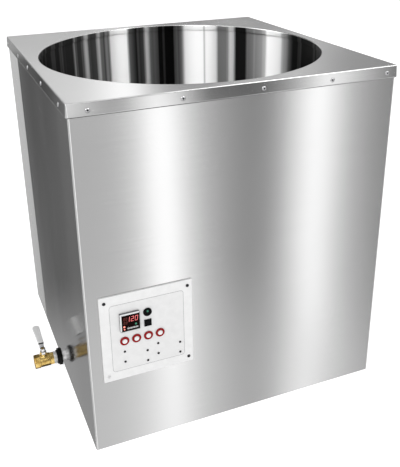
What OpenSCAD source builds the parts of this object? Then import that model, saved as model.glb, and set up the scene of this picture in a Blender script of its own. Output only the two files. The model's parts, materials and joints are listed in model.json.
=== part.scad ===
// Melting tank: a square sheet-metal casing round a deep round vessel with electric heating,
// a control panel low on the front and a ball valve on the left side.
// The origin is on the floor at the middle of the casing, and the front faces -Y.

/* [Casing] */
// Width over the top flange
casing_w = 800; // [800:5:1000]
// Depth over the top flange
casing_d = 800; // [800:5:1000]
// Height from the floor to the top plate
casing_h = 885; // [860:5:1000]
// Thickness of the casing sheet
sheet_t = 1.5; // [1:0.1:2]
// Thickness of the top plate
plate_t = 2; // [1.5:0.1:2.2]
// Outside radius of the sheet bends
bend_r = 4; // [3:0.5:5]
// Height of the top plate's turned-down flange
flange_h = 31; // [28:1:40]
// Width of the returns that carry the back panel
return_w = 20; // [16:1:20]
// Thickness of the base plate
base_t = 3; // [2:0.5:5]

/* [Vessel] */
// Least width of the top plate between the opening and the edge
rim_margin = 28; // [28:1:60]
// Height of the turned-down collar round the opening
collar_h = 16; // [12:1:24]
// Height of the vessel's inside floor above the ground
vessel_floor_h = 155; // [150:1:190]
// Wall thickness of the vessel
vessel_t = 2; // [1.5:0.1:2.2]
// Inside radius between the vessel's wall and floor
floor_r = 30; // [20:1:40]
// Thickness of the blanket round the vessel
blanket_t = 12; // [8:1:12]

/* [Heating] */
// Width of each band heater
band_w = 80; // [50:5:100]
// Thickness of each band heater
band_t = 4; // [3:0.5:4]
// Distance from the vessel's wall in to the bottom heater's edge
heater_margin = 96; // [96:2:150]
// Thickness of the bottom heater plate
floor_heater_t = 8; // [5:1:10]
// Thickness of the insulation under the heater plate
floor_insulation_t = 40; // [30:1:40]

/* [Frame] */
// Leg length of the base frame's angles
rail_w = 30; // [25:1:35]
// Thickness of the frame's steel
rail_t = 3; // [2:0.5:4]
// Leg length of the corner posts
post_w = 18; // [14:1:18]
// Distance from the support plate's edge in to each stub leg
leg_margin = 25; // [25:5:60]

/* [Drain] */
// Height of the drain's axis
drain_z = 64; // [60:1:66]
// Place of the drain's axis along the side
drain_y = -72; // [-100:1:-40]
// Distance from the vessel's wall in to the outlet in its floor
drain_inset = 76; // [70:1:90]
// Outside diameter of the drain pipe
pipe_d = 26.9; // [25:0.1:27]
// Inside diameter of the drain pipe
pipe_bore = 21; // [18:0.5:21]
// Across flats of the black lock nut
locknut_af = 45; // [40:1:50]
// Thickness of the black lock nut
locknut_t = 14; // [10:1:16]

/* [Valve] */
// Length of the valve body without its end piece
valve_body_l = 43; // [43:1:50]
// Diameter of the middle of the valve body
valve_body_d = 36; // [35:0.5:40]
// Across flats of the valve's outer end
valve_end_af = 37; // [35:0.5:42]
// Diameter of the ball
ball_d = 25; // [24:0.5:25]
// Diameter of the bore through the ball
ball_bore = 17; // [14:0.5:17]
// Diameter of the stem
stem_d = 8; // [6:0.5:8]
// Length of the lever from the stem to its end
lever_l = 114; // [90:1:140]
// Width of the lever's steel strip
lever_w = 13; // [11:0.5:14]
// Width of the sleeve at the lever's end
sleeve_w = 20; // [17:0.5:24]

/* [Control panel] */
// Width of the panel
panel_w = 228; // [220:1:250]
// Height of the panel
panel_h = 232; // [225:1:250]
// Thickness of the panel
panel_t = 4; // [3:0.5:6]
// Distance from the casing's left edge to the panel
panel_left = 34; // [30:1:50]
// Height of the panel's lower edge
panel_bottom = 196; // [180:1:230]
// Side of the square temperature controller
controller_w = 48; // [48:1:52]
// Depth of the controller behind the panel
controller_depth = 74; // [50:1:80]
// Diameter of the round switch
round_switch_d = 21; // [21:0.5:23]
// Side of the square switch
square_switch_w = 17.5; // [17.5:0.5:19]
// Outside diameter of the red rings
ring_d = 22.5; // [22:0.5:25]
// Diameter of the white button caps
cap_d = 15; // [13:0.5:15]
// Distance between neighbouring buttons
button_pitch = 29.3; // [28:0.1:31]
// Travel of a button
button_travel = 3; // [1:0.5:3]
// Travel of a controller key
key_travel = 0.5; // [0.3:0.1:0.6]

/* [Hidden] */
$fn = 64;
// Gap between sheets and housings that only lie together
fit = 0.3;
// Radial clearance of shafts, pipes and screws in their holes
run = 0.05;
// Overlap that lets a cut pass a face
eps = 1;

// Half sizes of the casing's outside and inside
body_x = casing_w / 2 - plate_t - fit;
body_y = casing_d / 2 - plate_t - fit;
in_x = body_x - sheet_t - fit;
in_front = -(body_y - sheet_t - fit);
in_back = body_y - 2 * sheet_t - fit;
body_top = casing_h - bend_r;
under_plate = casing_h - plate_t;

// Vessel radii and heights
opening_r = min(casing_w, casing_d) / 2 - rim_margin;
vessel_ri = opening_r + plate_t + fit;
vessel_ro = vessel_ri + vessel_t;
rim_w = 12;
vessel_rim_r = vessel_ro + rim_w;
bend_x = opening_r + bend_r;
bend_z = casing_h - bend_r;
lap = 2;
floor_z = vessel_floor_h;
floor_under = floor_z - vessel_t;
heater_z = floor_under - floor_heater_t;
insulation_z = heater_z - floor_insulation_t;
insulation_gap = 5;
support_t = 2.5;
support_z = insulation_z - support_t;
floor_heater_r = vessel_ro - heater_margin;
heater_hole_r = 50;
support_r = floor_heater_r;
cross_y = (support_r - leg_margin) / sqrt(2);
band_ri = vessel_ro + fit;
band_ro = band_ri + band_t;
blanket_ri = band_ro + fit;
blanket_ro = blanket_ri + blanket_t;
blanket_gap = 3;
blanket_top = body_top - flange_h - blanket_gap;
band_low = 55;
band_pitch = 190;
band_zs = [floor_z + band_low, floor_z + band_low + band_pitch];
band_split_a = 225;
band_gap = 20;
lug_t = 3;
lug_r = 14;
lug_gap = 2;
band_screw_r = 2;
terminal_r = 2.5;
terminal_l = 16;
probe_a = 225;
probe_z = floor_z + band_low + band_w + 37;
probe_r = 3;
boss_d = 18;
boss_l = 18;
thermostat_a = 214;
thermostat_r = 14;
thermostat_h = 16;

// Rivets along the flange, as shares of the side they are on, measured from its middle
front_rivets = [-0.445, -0.187, 0.053, 0.274, 0.464];
side_rivets = [-0.416, -0.176, 0.047, 0.234, 0.465];
rivet_z = casing_h - flange_h / 2;
rivet_head_r = 5.5;
rivet_r = 2.4;
rivet_rim_h = 0.7;
rivet_crown_r = 3.2;
rivet_crown_h = 1.2;
rivet_bulb_r = 3.4;
rivet_bulb_l = 4;
rivet_hollow_r = 1.7;
rivet_grip = plate_t + fit + sheet_t;
back_x = body_x - bend_r + plate_t;
back_screw_zs = [for (k = [0.14, 0.38, 0.62, 0.86]) k * casing_h];
back_screw_x = body_x - return_w / 2;
back_screw_r = 2;
screw_spare = 5;

// Drain and valve: u is the distance outwards from the casing's left face
side_x = -body_x;
drain_x = -(vessel_ro - drain_inset);
pipe_r = pipe_d / 2;
pipe_bore_r = pipe_bore / 2;
elbow_wall = 4;
elbow_r = pipe_r + elbow_wall;
elbow_reach = 33;
elbow_depth = 15;
inner_nut_af = 36;
inner_nut_t = 8;
collar_t = 4;
spacer_u = 12;
locknut_u = spacer_u + locknut_t;
hex_u = locknut_u + 2;
hex_t = 7;
hex_af = 30;
end_u = hex_u + hex_t;
end_hex_t = 10;
end_hex_af = 32;
thread_l = 12;
body_u = end_u + end_hex_t;
pipe_run = drain_x - elbow_reach + elbow_depth - side_x + end_u + thread_l;
mouth_l = 12;
mouth_r = 12.1;
valve_end_l = mouth_l + 3;
ball_r = ball_d / 2;
ball_bore_r = ball_bore / 2;
socket_t = 4;
ball_u = body_u + socket_t + ball_r + fit;
chamber_r = ball_r + 0.7;
socket_r = chamber_r + 1.4;
seat_t = ball_r + fit - sqrt(ball_r * ball_r - ball_bore_r * ball_bore_r) - 0.1;
stem_x = side_x - ball_u;
stem_r = stem_d / 2;
boss_r = 10;
boss_top = valve_body_d / 2 + 5;
packing_r = 6.5;
packing_h = 5;
packing_low = 2;
tang_t = 3;
tang_depth = 3;
gland_h = 7;
gland_af = 16;
lever_z = boss_top + gland_h + 1;
lever_t = 2.5;
lever_nut_h = 6;
stem_top = lever_z + lever_t + lever_nut_h + 1;
lever_root_l = 12;
lever_rise = 7;
lever_ramp_l = 12;
lever_in_sleeve = lever_l - 6;
lever_nut_af = 13;
sleeve_t = 8;
sleeve_root_w = lever_w + 2.5;

// Panel: places are measured from its middle
panel_cx = -casing_w / 2 + panel_left + panel_w / 2;
panel_cz = panel_bottom + panel_h / 2;
panel_r = 6;
overlay_t = 0.4;
overlay_w = panel_w - 46;
overlay_h = panel_h - 50;
overlay_r = 8;
face_y = -body_y - panel_t - overlay_t;
panel_back = -panel_t - overlay_t;
cutout_w = panel_w - 38;
cutout_h = panel_h - 44;
corner_screw_x = panel_w / 2 - 12.5;
corner_screw_z = panel_h / 2 - 15.5;
controller_at = [-44.4, 42.2];
bezel_h = 6;
housing_w = controller_w - 3.4;
window_left = 4;
window_top = 4.5;
window_edge = 2;
window_w = controller_w - window_left - window_edge;
window_h = controller_w - window_top - window_edge;
window_x = (window_left - window_edge) / 2;
window_y = (window_edge - window_top) / 2;
window_t = 1.6;
window_z = bezel_h - window_t - 0.3;
clamp_t = 8;
clamp_w = 4;
cutout_gap = 0.2;
key_w = 6;
key_h = 4;
key_pitch = 6.8;
key_last_x = controller_w / 2 - 7.8;
key_y = -controller_w / 2 + 7.6;
key_floor = bezel_h - 4.2;
key_proud = 0.6;
round_at = [0, 54.8];
square_at = [0, 25.5];
switch_bezel_h = 2.5;
switch_depth = 20;
rocker_r = 7;
rocker_pivot = 1;
rocker_tilt = 9;
round_rocker_w = 10;
square_rocker_w = 11.4;
case_inset = 0.6;
panel_gap = 0.1;
pivot_r = 1;
pin_l = 1.2;
rocker_edge = 3.6;
rocker_dip = 2.2;
lens_w = 4;
lens_h = 5;
lens_t = 2.6;
lens_low = 0.6;
button_y = -10;
button_x0 = -1.5 * button_pitch - 14.7;
ring_h = 3;
barrel_wall = 1.2;
barrel_r = cap_d / 2 + fit + barrel_wall;
barrel_l = 22;
button_nut_t = 4;
cap_front = ring_h + 1.2;
cap_back = -9;
module_at = [[-31.7, -60.5], [51.5, -60.5]];
module_screws = [[-28, 20.5], [-28, -8.2], [28, 8.2], [28, -20.5]];
module_screw_r = 1.35;
panel_screw_r = 1.75;
relay_w = 44;
relay_h = 24;
relay_lug_w = 34;
relay_lug_h = 8;

// Wiring and the cord's inlet
gland_inset = 80;
gland_x = -casing_w / 2 + gland_inset;
gland_z = 60;
gland_r = 8;
gland_bore_r = 5;
gland_thread_l = 8;
gland_l = 18;
gland_hex_af = 22;
gland_hex_t = 5;
gland_dome_r = 10;
gland_dome_l = 12;
block_w = 30;
block_h = 25;
block_screws = 5;
block_pitch = 12;
block_l = block_screws * block_pitch;
block_inset = 65;
block_y = in_back - block_inset;
loom_r = 4;
loom_x = panel_cx + controller_at[0] - 14;
loom_z = base_t + rail_w + loom_r + 1;
loom_y = face_y + controller_depth + 8;
loom_top = panel_cz + controller_at[1] - 10;

// Shared shapes

// Rectangle with round corners, as a flat outline
module rounded_rect(w, h, r) {
    square([w - 2 * r, h], center = true);
    square([w, h - 2 * r], center = true);
    for (sx = [-1, 1], sy = [-1, 1])
        translate([sx * (w / 2 - r), sy * (h / 2 - r)])
            circle(r);
}

// Block whose top is at z = 0, with round upright edges and round top edges
module capped_block(w, d, h, r) {
    translate([0, 0, -h])
        linear_extrude(h - r)
            rounded_rect(w, d, r);
    translate([0, 0, -r])
        linear_extrude(r)
            square([w - 2 * r, d - 2 * r], center = true);
    for (s = [-1, 1]) {
        translate([0, s * (d / 2 - r), -r])
            rotate([0, 90, 0])
                cylinder(r = r, h = w - 2 * r, center = true);
        translate([s * (w / 2 - r), 0, -r])
            rotate([90, 0, 0])
                cylinder(r = r, h = d - 2 * r, center = true);
    }
    for (sx = [-1, 1], sy = [-1, 1])
        translate([sx * (w / 2 - r), sy * (d / 2 - r), -r])
            sphere(r);
}

// Ring standing on z = 0
module tube(ro, ri, h) {
    difference() {
        cylinder(r = ro, h = h);
        translate([0, 0, -eps])
            cylinder(r = ri, h = h + 2 * eps);
    }
}

// Hexagonal bar standing on z = 0, by its width across flats
module hex_bar(af, h) {
    cylinder(r = af / sqrt(3), h = h, $fn = 6);
}

// Places its children on the panel's face, local z pointing out of the front
module on_front(at) {
    translate([panel_cx + at[0], face_y, panel_cz + at[1]])
        rotate([90, 0, 0])
            children();
}

// Places its children on the drain's axis, local z pointing out of the left side, local x up
module on_drain(u) {
    translate([side_x - u, drain_y, drain_z])
        rotate([0, -90, 0])
            children();
}

// Places its children on the vessel's side, local z pointing away from its axis
module on_vessel(a, z) {
    rotate([0, 0, a])
        translate([0, 0, z])
            rotate([0, 90, 0])
                children();
}

// Places its children at each rivet, local z pointing out of the flange
module at_rivets() {
    for (s = front_rivets) {
        translate([s * casing_w, -casing_d / 2, rivet_z])
            rotate([90, 0, 0])
                children();
        translate([s * casing_w, casing_d / 2, rivet_z])
            rotate([-90, 0, 0])
                children();
    }
    for (s = side_rivets) {
        translate([-casing_w / 2, s * casing_d, rivet_z])
            rotate([0, -90, 0])
                children();
        translate([casing_w / 2, s * casing_d, rivet_z])
            rotate([0, 90, 0])
                children();
    }
}

// Holes for the back screws, from the back panel's outer face inwards
module back_screw_holes(depth) {
    at_back_screws()
        translate([0, 0, -depth - eps])
            cylinder(r = back_screw_r + run, h = depth + 2 * eps);
}

module rivet_holes() {
    at_rivets()
        translate([0, 0, -rivet_grip - eps])
            cylinder(r = rivet_r + run, h = rivet_grip + 2 * eps);
}

// Places its children at each back screw, local z pointing out of the back
module at_back_screws() {
    for (s = [-1, 1], z = back_screw_zs)
        translate([s * back_screw_x, body_y, z])
            rotate([-90, 0, 0])
                children();
}

// Casing

module top_plate() {
    color("gainsboro")
        difference() {
            union() {
                difference() {
                    translate([0, 0, casing_h])
                        capped_block(casing_w, casing_d, flange_h, bend_r);
                    translate([0, 0, under_plate])
                        capped_block(casing_w - 2 * plate_t, casing_d - 2 * plate_t, flange_h,
                            bend_r - plate_t);
                    translate([0, 0, under_plate - eps])
                        cylinder(r = bend_x + lap, h = plate_t + 2 * eps, $fn = 180);
                }
                rotate_extrude($fn = 180)
                    collar_profile();
            }
            rivet_holes();
        }
}

// Section of the collar: a short flat, the bend and the straight part turned down
module collar_profile() {
    translate([bend_x, under_plate])
        square([lap, plate_t]);
    translate([opening_r, casing_h - collar_h])
        square([plate_t, collar_h - bend_r]);
    translate([bend_x, bend_z])
        intersection() {
            difference() {
                circle(bend_r);
                circle(bend_r - plate_t);
            }
            translate([-bend_r, 0])
                square(bend_r);
        }
}

module top_rivets() {
    color("silver")
        at_rivets()
            rivet();
}

// Blind rivet: a domed head round a hollow, a shank through both sheets and a bulb behind them
module rivet() {
    difference() {
        union() {
            cylinder(r = rivet_head_r, h = rivet_rim_h);
            translate([0, 0, rivet_rim_h])
                cylinder(r1 = rivet_head_r, r2 = rivet_crown_r, h = rivet_crown_h);
            translate([0, 0, -rivet_grip])
                cylinder(r = rivet_r, h = rivet_grip);
            translate([0, 0, -rivet_grip - rivet_bulb_l])
                cylinder(r = rivet_bulb_r, h = rivet_bulb_l);
        }
        translate([0, 0, -rivet_grip / 2])
            cylinder(r = rivet_hollow_r, h = rivet_grip + rivet_bulb_l);
    }
}

module casing_wrap() {
    color("lightgray")
        difference() {
            linear_extrude(body_top)
                wrap_outline();
            rivet_holes();
            on_drain(-sheet_t - eps)
                cylinder(r = pipe_r + 1, h = sheet_t + 2 * eps);
            translate([panel_cx, -body_y, panel_cz])
                cube([cutout_w, 2 * sheet_t + eps, cutout_h], center = true);
            panel_screw_holes();
            back_screw_holes(2 * sheet_t);
        }
}

// Plan of the sheet that wraps the left, front and right sides, with its rear returns
module wrap_outline() {
    difference() {
        translate([0, -sheet_t / 2])
            rounded_rect(2 * body_x, 2 * body_y - sheet_t, bend_r);
        translate([0, -sheet_t / 2])
            rounded_rect(2 * body_x - 2 * sheet_t, 2 * body_y - 3 * sheet_t, bend_r - sheet_t);
        translate([-body_x + return_w, 0])
            square([2 * (body_x - return_w), body_y + eps]);
    }
}

module back_panel() {
    color("lightgray")
        difference() {
            translate([-back_x, body_y - sheet_t, 0])
                cube([2 * back_x, sheet_t, body_top]);
            rivet_holes();
            back_screw_holes(2 * sheet_t);
            translate([gland_x, body_y + eps, gland_z])
                rotate([90, 0, 0])
                    cylinder(r = gland_r + run, h = sheet_t + 2 * eps);
        }
}

module back_screws() {
    color("silver")
        at_back_screws()
            screw(back_screw_r, 2, 2 * sheet_t + screw_spare);
}

// Pan-head screw with a cross recess: the head stands on z = 0 and the shank goes down
module screw(shank_r, head_h, shank_l) {
    head_r = 2 * shank_r;
    difference() {
        union() {
            cylinder(r = head_r, h = head_h / 2);
            translate([0, 0, head_h / 2])
                cylinder(r1 = head_r, r2 = 0.72 * head_r, h = head_h / 2);
            translate([0, 0, -shank_l])
                cylinder(r = shank_r, h = shank_l);
        }
        for (a = [0, 90])
            rotate([0, 0, a])
                translate([0, 0, head_h])
                    cube([head_r, shank_r * 0.4, head_h], center = true);
    }
}

module base_plate() {
    color("gray")
        linear_extrude(base_t)
            inner_outline();
}

// Upright and flat legs of the angles round the floor, two cross rails and four stub legs
module base_frame() {
    color("dimgray")
        translate([0, 0, base_t]) {
            frame_ring(rail_t, rail_w);
            frame_ring(rail_w, rail_t);
            for (s = [-1, 1]) {
                translate([-in_x + rail_t, s * cross_y - rail_w / 2, rail_w - rail_t])
                    cube([2 * (in_x - rail_t), rail_w, rail_t]);
                translate([-in_x + rail_t, s * cross_y - rail_t / 2, 0])
                    cube([2 * (in_x - rail_t), rail_t, rail_w]);
                for (t = [-1, 1])
                    translate([t * cross_y - rail_t / 2, s * cross_y - rail_w / 2, rail_w])
                        cube([rail_t, rail_w, support_z - base_t - rail_w]);
            }
        }
}

// Plan of what fits inside the casing, with corners that clear its bends
module inner_outline() {
    translate([0, (in_front + in_back) / 2])
        rounded_rect(2 * in_x, in_back - in_front, bend_r);
}

// Ring of the casing's inside size, standing on z = 0
module frame_ring(width, height) {
    difference() {
        linear_extrude(height)
            inner_outline();
        translate([-in_x + width, in_front + width, -eps])
            cube([2 * (in_x - width), in_back - in_front - 2 * width, height + 2 * eps]);
    }
}

module corner_posts() {
    color("dimgray")
        difference() {
            translate([0, 0, base_t + rail_w])
                intersection() {
                    frame_ring(rail_t, under_plate - base_t - rail_w);
                    for (sx = [-1, 1], y = [in_front, in_back])
                        translate([sx * in_x, y, 0])
                            cube([2 * post_w, 2 * post_w, 2 * casing_h], center = true);
                }
            back_screw_holes(2 * sheet_t + rail_t + 1);
        }
}

module support_plate() {
    color("gray")
        translate([0, 0, support_z])
            cylinder(r = support_r, h = support_t, $fn = 120);
}

// Vessel and heating

module vessel() {
    color("whitesmoke")
        difference() {
            rotate_extrude($fn = 180) {
                difference() {
                    cup_outline(vessel_ro, floor_under, bend_z, floor_r + vessel_t);
                    cup_outline(vessel_ri, floor_z, bend_z + eps, floor_r);
                }
                translate([bend_x, bend_z])
                    square([vessel_rim_r - bend_x, bend_r - plate_t]);
                translate([bend_x, bend_z])
                    intersection() {
                        circle(bend_r - plate_t - fit);
                        translate([-bend_r, 0])
                            square(bend_r);
                    }
            }
            translate([drain_x, drain_y, floor_under - eps])
                cylinder(r = pipe_r + run, h = vessel_t + 2 * eps);
        }
}

// Half outline of a round cup from its floor to its top
module cup_outline(r, low, high, corner) {
    translate([0, low])
        square([r - corner, high - low]);
    translate([0, low + corner])
        square([r, high - low - corner]);
    translate([r - corner, low + corner])
        intersection() {
            circle(corner);
            translate([0, -corner])
                square(corner);
        }
}

module heater_bands() {
    color("peru")
        for (z = band_zs)
            translate([0, 0, z])
                heater_band();
}

module heater_band() {
    difference() {
        tube(band_ro, band_ri, band_w, $fn = 180);
        rotate([0, 0, band_split_a])
            translate([band_ri - eps, -band_gap / 2, -eps])
                cube([band_t + 4 * eps, band_gap, band_w + 2 * eps]);
    }
    rotate([0, 0, band_split_a])
        for (s = [-1, 1])
            translate([band_ri + 1, s * (band_gap / 2 + lug_t / 2), band_w / 2])
                difference() {
                    translate([0, -lug_t / 2, -lug_r])
                        cube([band_t + lug_r, lug_t, 2 * lug_r]);
                    translate([band_t + lug_r / 2, 0, 0])
                        rotate([90, 0, 0])
                            cylinder(r = band_screw_r + run, h = 2 * lug_t, center = true);
                }
}

module band_screws() {
    color("silver")
        for (z = band_zs)
            rotate([0, 0, band_split_a])
                translate([band_ri + 1 + band_t + lug_r / 2, band_gap / 2 + lug_t, z + band_w / 2])
                    rotate([-90, 0, 0])
                        screw(band_screw_r, 3, band_gap + 2 * lug_t + screw_spare);
}

module floor_heater() {
    color("peru")
        translate([0, 0, heater_z]) {
            tube(floor_heater_r, heater_hole_r, floor_heater_t, $fn = 120);
            for (s = [-1, 1])
                rotate([0, 0, band_split_a + 3 * s])
                    translate([floor_heater_r - 2, 0, floor_heater_t / 2])
                        rotate([0, 90, 0])
                            cylinder(r = terminal_r, h = terminal_l);
        }
}

// Blanket with windows for the band lugs, the probe and the thermostat
module blanket() {
    window_side = band_gap / 2 + lug_t + 4 * band_screw_r + screw_spare;
    color("ivory")
        difference() {
            translate([0, 0, heater_z])
                tube(blanket_ro, blanket_ri, blanket_top - heater_z, $fn = 180);
            for (z = band_zs)
                rotate([0, 0, band_split_a])
                    translate([band_ri, -window_side, z + band_w / 2 - lug_r - lug_gap])
                        cube([band_t + 2 * blanket_t, 2 * window_side, 2 * (lug_r + lug_gap)]);
            on_vessel(probe_a, probe_z)
                cylinder(r = boss_d / 2 + 5, h = blanket_ro + eps);
            on_vessel(thermostat_a, probe_z)
                cylinder(r = thermostat_r + 4, h = blanket_ro + eps);
        }
}

module floor_insulation() {
    color("ivory")
        translate([0, 0, insulation_z])
            difference() {
                cylinder(r = vessel_ro - floor_r - insulation_gap, h = floor_insulation_t, $fn = 120);
                translate([drain_x, drain_y, -eps])
                    cylinder(r = pipe_r + 2, h = floor_insulation_t + 2 * eps);
            }
}

// Boss whose inner end is cut to the vessel's wall
module probe_boss() {
    color("silver")
        difference() {
            on_vessel(probe_a, probe_z)
                translate([0, 0, vessel_ro - 2])
                    difference() {
                        cylinder(d = boss_d, h = boss_l);
                        translate([0, 0, -eps])
                            cylinder(r = probe_r + run, h = boss_l + 2 * eps);
                    }
            translate([0, 0, probe_z])
                cylinder(r = vessel_ro, h = 2 * boss_d, center = true, $fn = 180);
        }
}

module temperature_probe() {
    color("silver")
        on_vessel(probe_a, probe_z) {
            translate([0, 0, vessel_ro + fit])
                cylinder(r = probe_r, h = boss_l - 2);
            translate([0, 0, vessel_ro + boss_l - 2]) {
                hex_bar(13, 7);
                cylinder(r = 1.5 * probe_r, h = boss_l + 2);
            }
        }
}

module limit_thermostat() {
    color("black")
        difference() {
            on_vessel(thermostat_a, probe_z)
                translate([0, 0, vessel_ro - 2]) {
                    cylinder(r = thermostat_r, h = thermostat_h / 4);
                    cylinder(r = thermostat_r - 3, h = thermostat_h);
                    for (s = [-1, 1])
                        translate([-3, s * 5 - 0.4, thermostat_h - 2])
                            cube([6, 0.8, 10]);
                }
            translate([0, 0, probe_z])
                cylinder(r = vessel_ro, h = 4 * thermostat_r, center = true, $fn = 180);
        }
}

// Drain

module drain_stub() {
    color("silver")
        translate([drain_x, drain_y, drain_z + elbow_reach - elbow_depth])
            tube(pipe_r, pipe_bore_r, floor_z - drain_z - elbow_reach + elbow_depth);
}

// Screwed elbow: one socket up to the vessel and one out to the side
module drain_elbow() {
    color("silver")
        translate([drain_x, drain_y, drain_z])
            difference() {
                union() {
                    cylinder(r = elbow_r, h = elbow_reach);
                    rotate([0, -90, 0])
                        cylinder(r = elbow_r, h = elbow_reach);
                    sphere(elbow_r);
                }
                for (a = [0, -90])
                    rotate([0, a, 0]) {
                        cylinder(r = pipe_bore_r, h = elbow_reach + eps);
                        translate([0, 0, elbow_reach - elbow_depth])
                            cylinder(r = pipe_r + run, h = elbow_depth + eps);
                    }
                sphere(pipe_bore_r);
            }
}

// Long nipple through the side, with a hexagon outside for the wrench
module drain_pipe() {
    color("gainsboro")
        difference() {
            union() {
                translate([drain_x - elbow_reach + elbow_depth, drain_y, drain_z])
                    rotate([0, -90, 0])
                        cylinder(r = pipe_r, h = pipe_run);
                on_drain(hex_u)
                    rotate([0, 0, 30])
                        hex_bar(hex_af, hex_t);
            }
            translate([drain_x + eps - elbow_reach + elbow_depth, drain_y, drain_z])
                rotate([0, -90, 0])
                    cylinder(r = pipe_bore_r, h = pipe_run + 2 * eps);
        }
}

module inner_locknut() {
    color("silver")
        on_drain(-sheet_t - inner_nut_t)
            difference() {
                hex_bar(inner_nut_af, inner_nut_t);
                translate([0, 0, -eps])
                    cylinder(r = pipe_r + run, h = inner_nut_t + 2 * eps);
            }
}

module spacer_sleeve() {
    color("gainsboro")
        on_drain(0)
            tube(pipe_r + 2, pipe_r + run, spacer_u);
}

// Black lock nut with a narrower collar on its outer side
module side_locknut() {
    color("black")
        on_drain(spacer_u)
            difference() {
                union() {
                    hex_bar(locknut_af, locknut_t - collar_t);
                    cylinder(r = locknut_af / 2 - 3, h = locknut_t);
                }
                translate([0, 0, -eps])
                    cylinder(r = pipe_r + run, h = locknut_t + 2 * eps);
            }
}

// Valve

module valve_end() {
    color("goldenrod")
        on_drain(end_u)
            difference() {
                union() {
                    hex_bar(end_hex_af, end_hex_t);
                    cylinder(r = socket_r, h = end_hex_t + socket_t);
                }
                translate([0, 0, -eps])
                    cylinder(r = pipe_r + run, h = thread_l + eps);
                cylinder(r = ball_bore_r, h = end_hex_t + socket_t + eps);
            }
}

module valve_body() {
    color("goldenrod")
        difference() {
            union() {
                on_drain(body_u) {
                    cylinder(d = valve_body_d, h = valve_body_l);
                    translate([0, 0, valve_body_l - valve_end_l])
                        rotate([0, 0, 22.5])
                            cylinder(r = valve_end_af / 2 / cos(22.5), h = valve_end_l, $fn = 8);
                }
                translate([stem_x, drain_y, drain_z])
                    cylinder(r = boss_r, h = boss_top);
            }
            on_drain(body_u) {
                translate([0, 0, -eps])
                    cylinder(r = socket_r + run, h = socket_t + eps);
                cylinder(r = chamber_r, h = socket_t + 2 * (ball_r + fit));
                cylinder(r = ball_bore_r, h = valve_body_l + eps);
                translate([0, 0, valve_body_l - mouth_l])
                    cylinder(r = mouth_r, h = mouth_l + eps);
            }
            translate([stem_x, drain_y, drain_z]) {
                cylinder(r = stem_r + run, h = boss_top + eps);
                translate([0, 0, boss_top - packing_h - packing_low])
                    cylinder(r = packing_r + run, h = packing_h + packing_low + eps);
            }
        }
}

// Two rings that the ball runs against
module valve_seats() {
    color("white")
        difference() {
            for (s = [-1, 1])
                on_drain(ball_u + s * (ball_r + fit - seat_t / 2) - seat_t / 2)
                    tube(chamber_r - run, ball_bore_r + 0.1, seat_t);
            on_drain(ball_u)
                sphere(ball_r + run);
        }
}

// Ball with its bore across the pipe, which is closed, and a slot for the stem
module valve_ball() {
    color("silver")
        translate([stem_x, drain_y, drain_z])
            difference() {
                sphere(ball_r);
                rotate([90, 0, 0])
                    cylinder(r = ball_bore_r, h = 3 * ball_r, center = true);
                translate([0, 0, ball_r])
                    cube([tang_t + 2 * run, 3 * ball_r, 2 * tang_depth], center = true);
            }
}

module valve_stem() {
    color("goldenrod")
        translate([stem_x, drain_y, drain_z]) {
            translate([-tang_t / 2, -stem_r * 0.8, ball_r - tang_depth + run])
                cube([tang_t, stem_r * 1.6, tang_depth + eps]);
            translate([0, 0, ball_r + 2 * fit])
                cylinder(r = stem_r, h = stem_top - ball_r - 2 * fit);
        }
}

module stem_packing() {
    color("white")
        translate([stem_x, drain_y, drain_z + boss_top - packing_h - packing_low])
            tube(packing_r, stem_r + run, packing_h);
}

module gland_nut() {
    color("silver")
        translate([stem_x, drain_y, drain_z + boss_top])
            difference() {
                union() {
                    hex_bar(gland_af, gland_h);
                    translate([0, 0, -packing_low])
                        cylinder(r = packing_r, h = packing_low);
                }
                translate([0, 0, -packing_low - eps])
                    cylinder(r = stem_r + run, h = gland_h + packing_low + 2 * eps);
            }
}

// Strip that lies on the stem, climbs a ramp and runs back into the sleeve
module valve_lever() {
    color("silver")
        translate([stem_x, drain_y, drain_z + lever_z])
            difference() {
                union() {
                    cylinder(d = lever_w, h = lever_t);
                    translate([-lever_w / 2, 0, 0])
                        rotate([90, 0, 90])
                            linear_extrude(lever_w)
                                polygon([
                                    [0, 0],
                                    [lever_root_l, 0],
                                    [lever_root_l + lever_ramp_l, lever_rise],
                                    [lever_in_sleeve, lever_rise],
                                    [lever_in_sleeve, lever_rise + lever_t],
                                    [lever_root_l + lever_ramp_l - 1, lever_rise + lever_t],
                                    [lever_root_l - 1, lever_t],
                                    [0, lever_t]]);
                }
                translate([0, 0, -eps])
                    cylinder(r = stem_r + run, h = lever_t + 2 * eps);
            }
}

module lever_nut() {
    color("silver")
        translate([stem_x, drain_y, drain_z + lever_z + lever_t])
            difference() {
                hex_bar(lever_nut_af, lever_nut_h);
                translate([0, 0, -eps])
                    cylinder(r = stem_r + run, h = lever_nut_h + 2 * eps);
            }
}

// Soft sleeve that widens towards its round end, with a slot for the strip
module lever_sleeve() {
    start = lever_root_l + lever_ramp_l;
    run_l = lever_l - start - sleeve_w / 2;
    color("whitesmoke")
        translate([stem_x, drain_y + start, drain_z + lever_z + lever_rise + lever_t / 2 - sleeve_t / 2])
            difference() {
                linear_extrude(sleeve_t) {
                    polygon([
                        [-sleeve_root_w / 2, 0],
                        [sleeve_root_w / 2, 0],
                        [sleeve_w / 2, run_l],
                        [-sleeve_w / 2, run_l]]);
                    translate([0, run_l])
                        circle(d = sleeve_w);
                }
                translate([-lever_w / 2 - run, -eps, sleeve_t / 2 - lever_t / 2 - run])
                    cube([lever_w + 2 * run, lever_in_sleeve - start + eps + run, lever_t + 2 * run]);
            }
}

// Control panel

module at_corner_screws() {
    for (sx = [-1, 1], sz = [-1, 1])
        on_front([sx * corner_screw_x, sz * corner_screw_z])
            translate([0, 0, -overlay_t])
                children();
}

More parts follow.
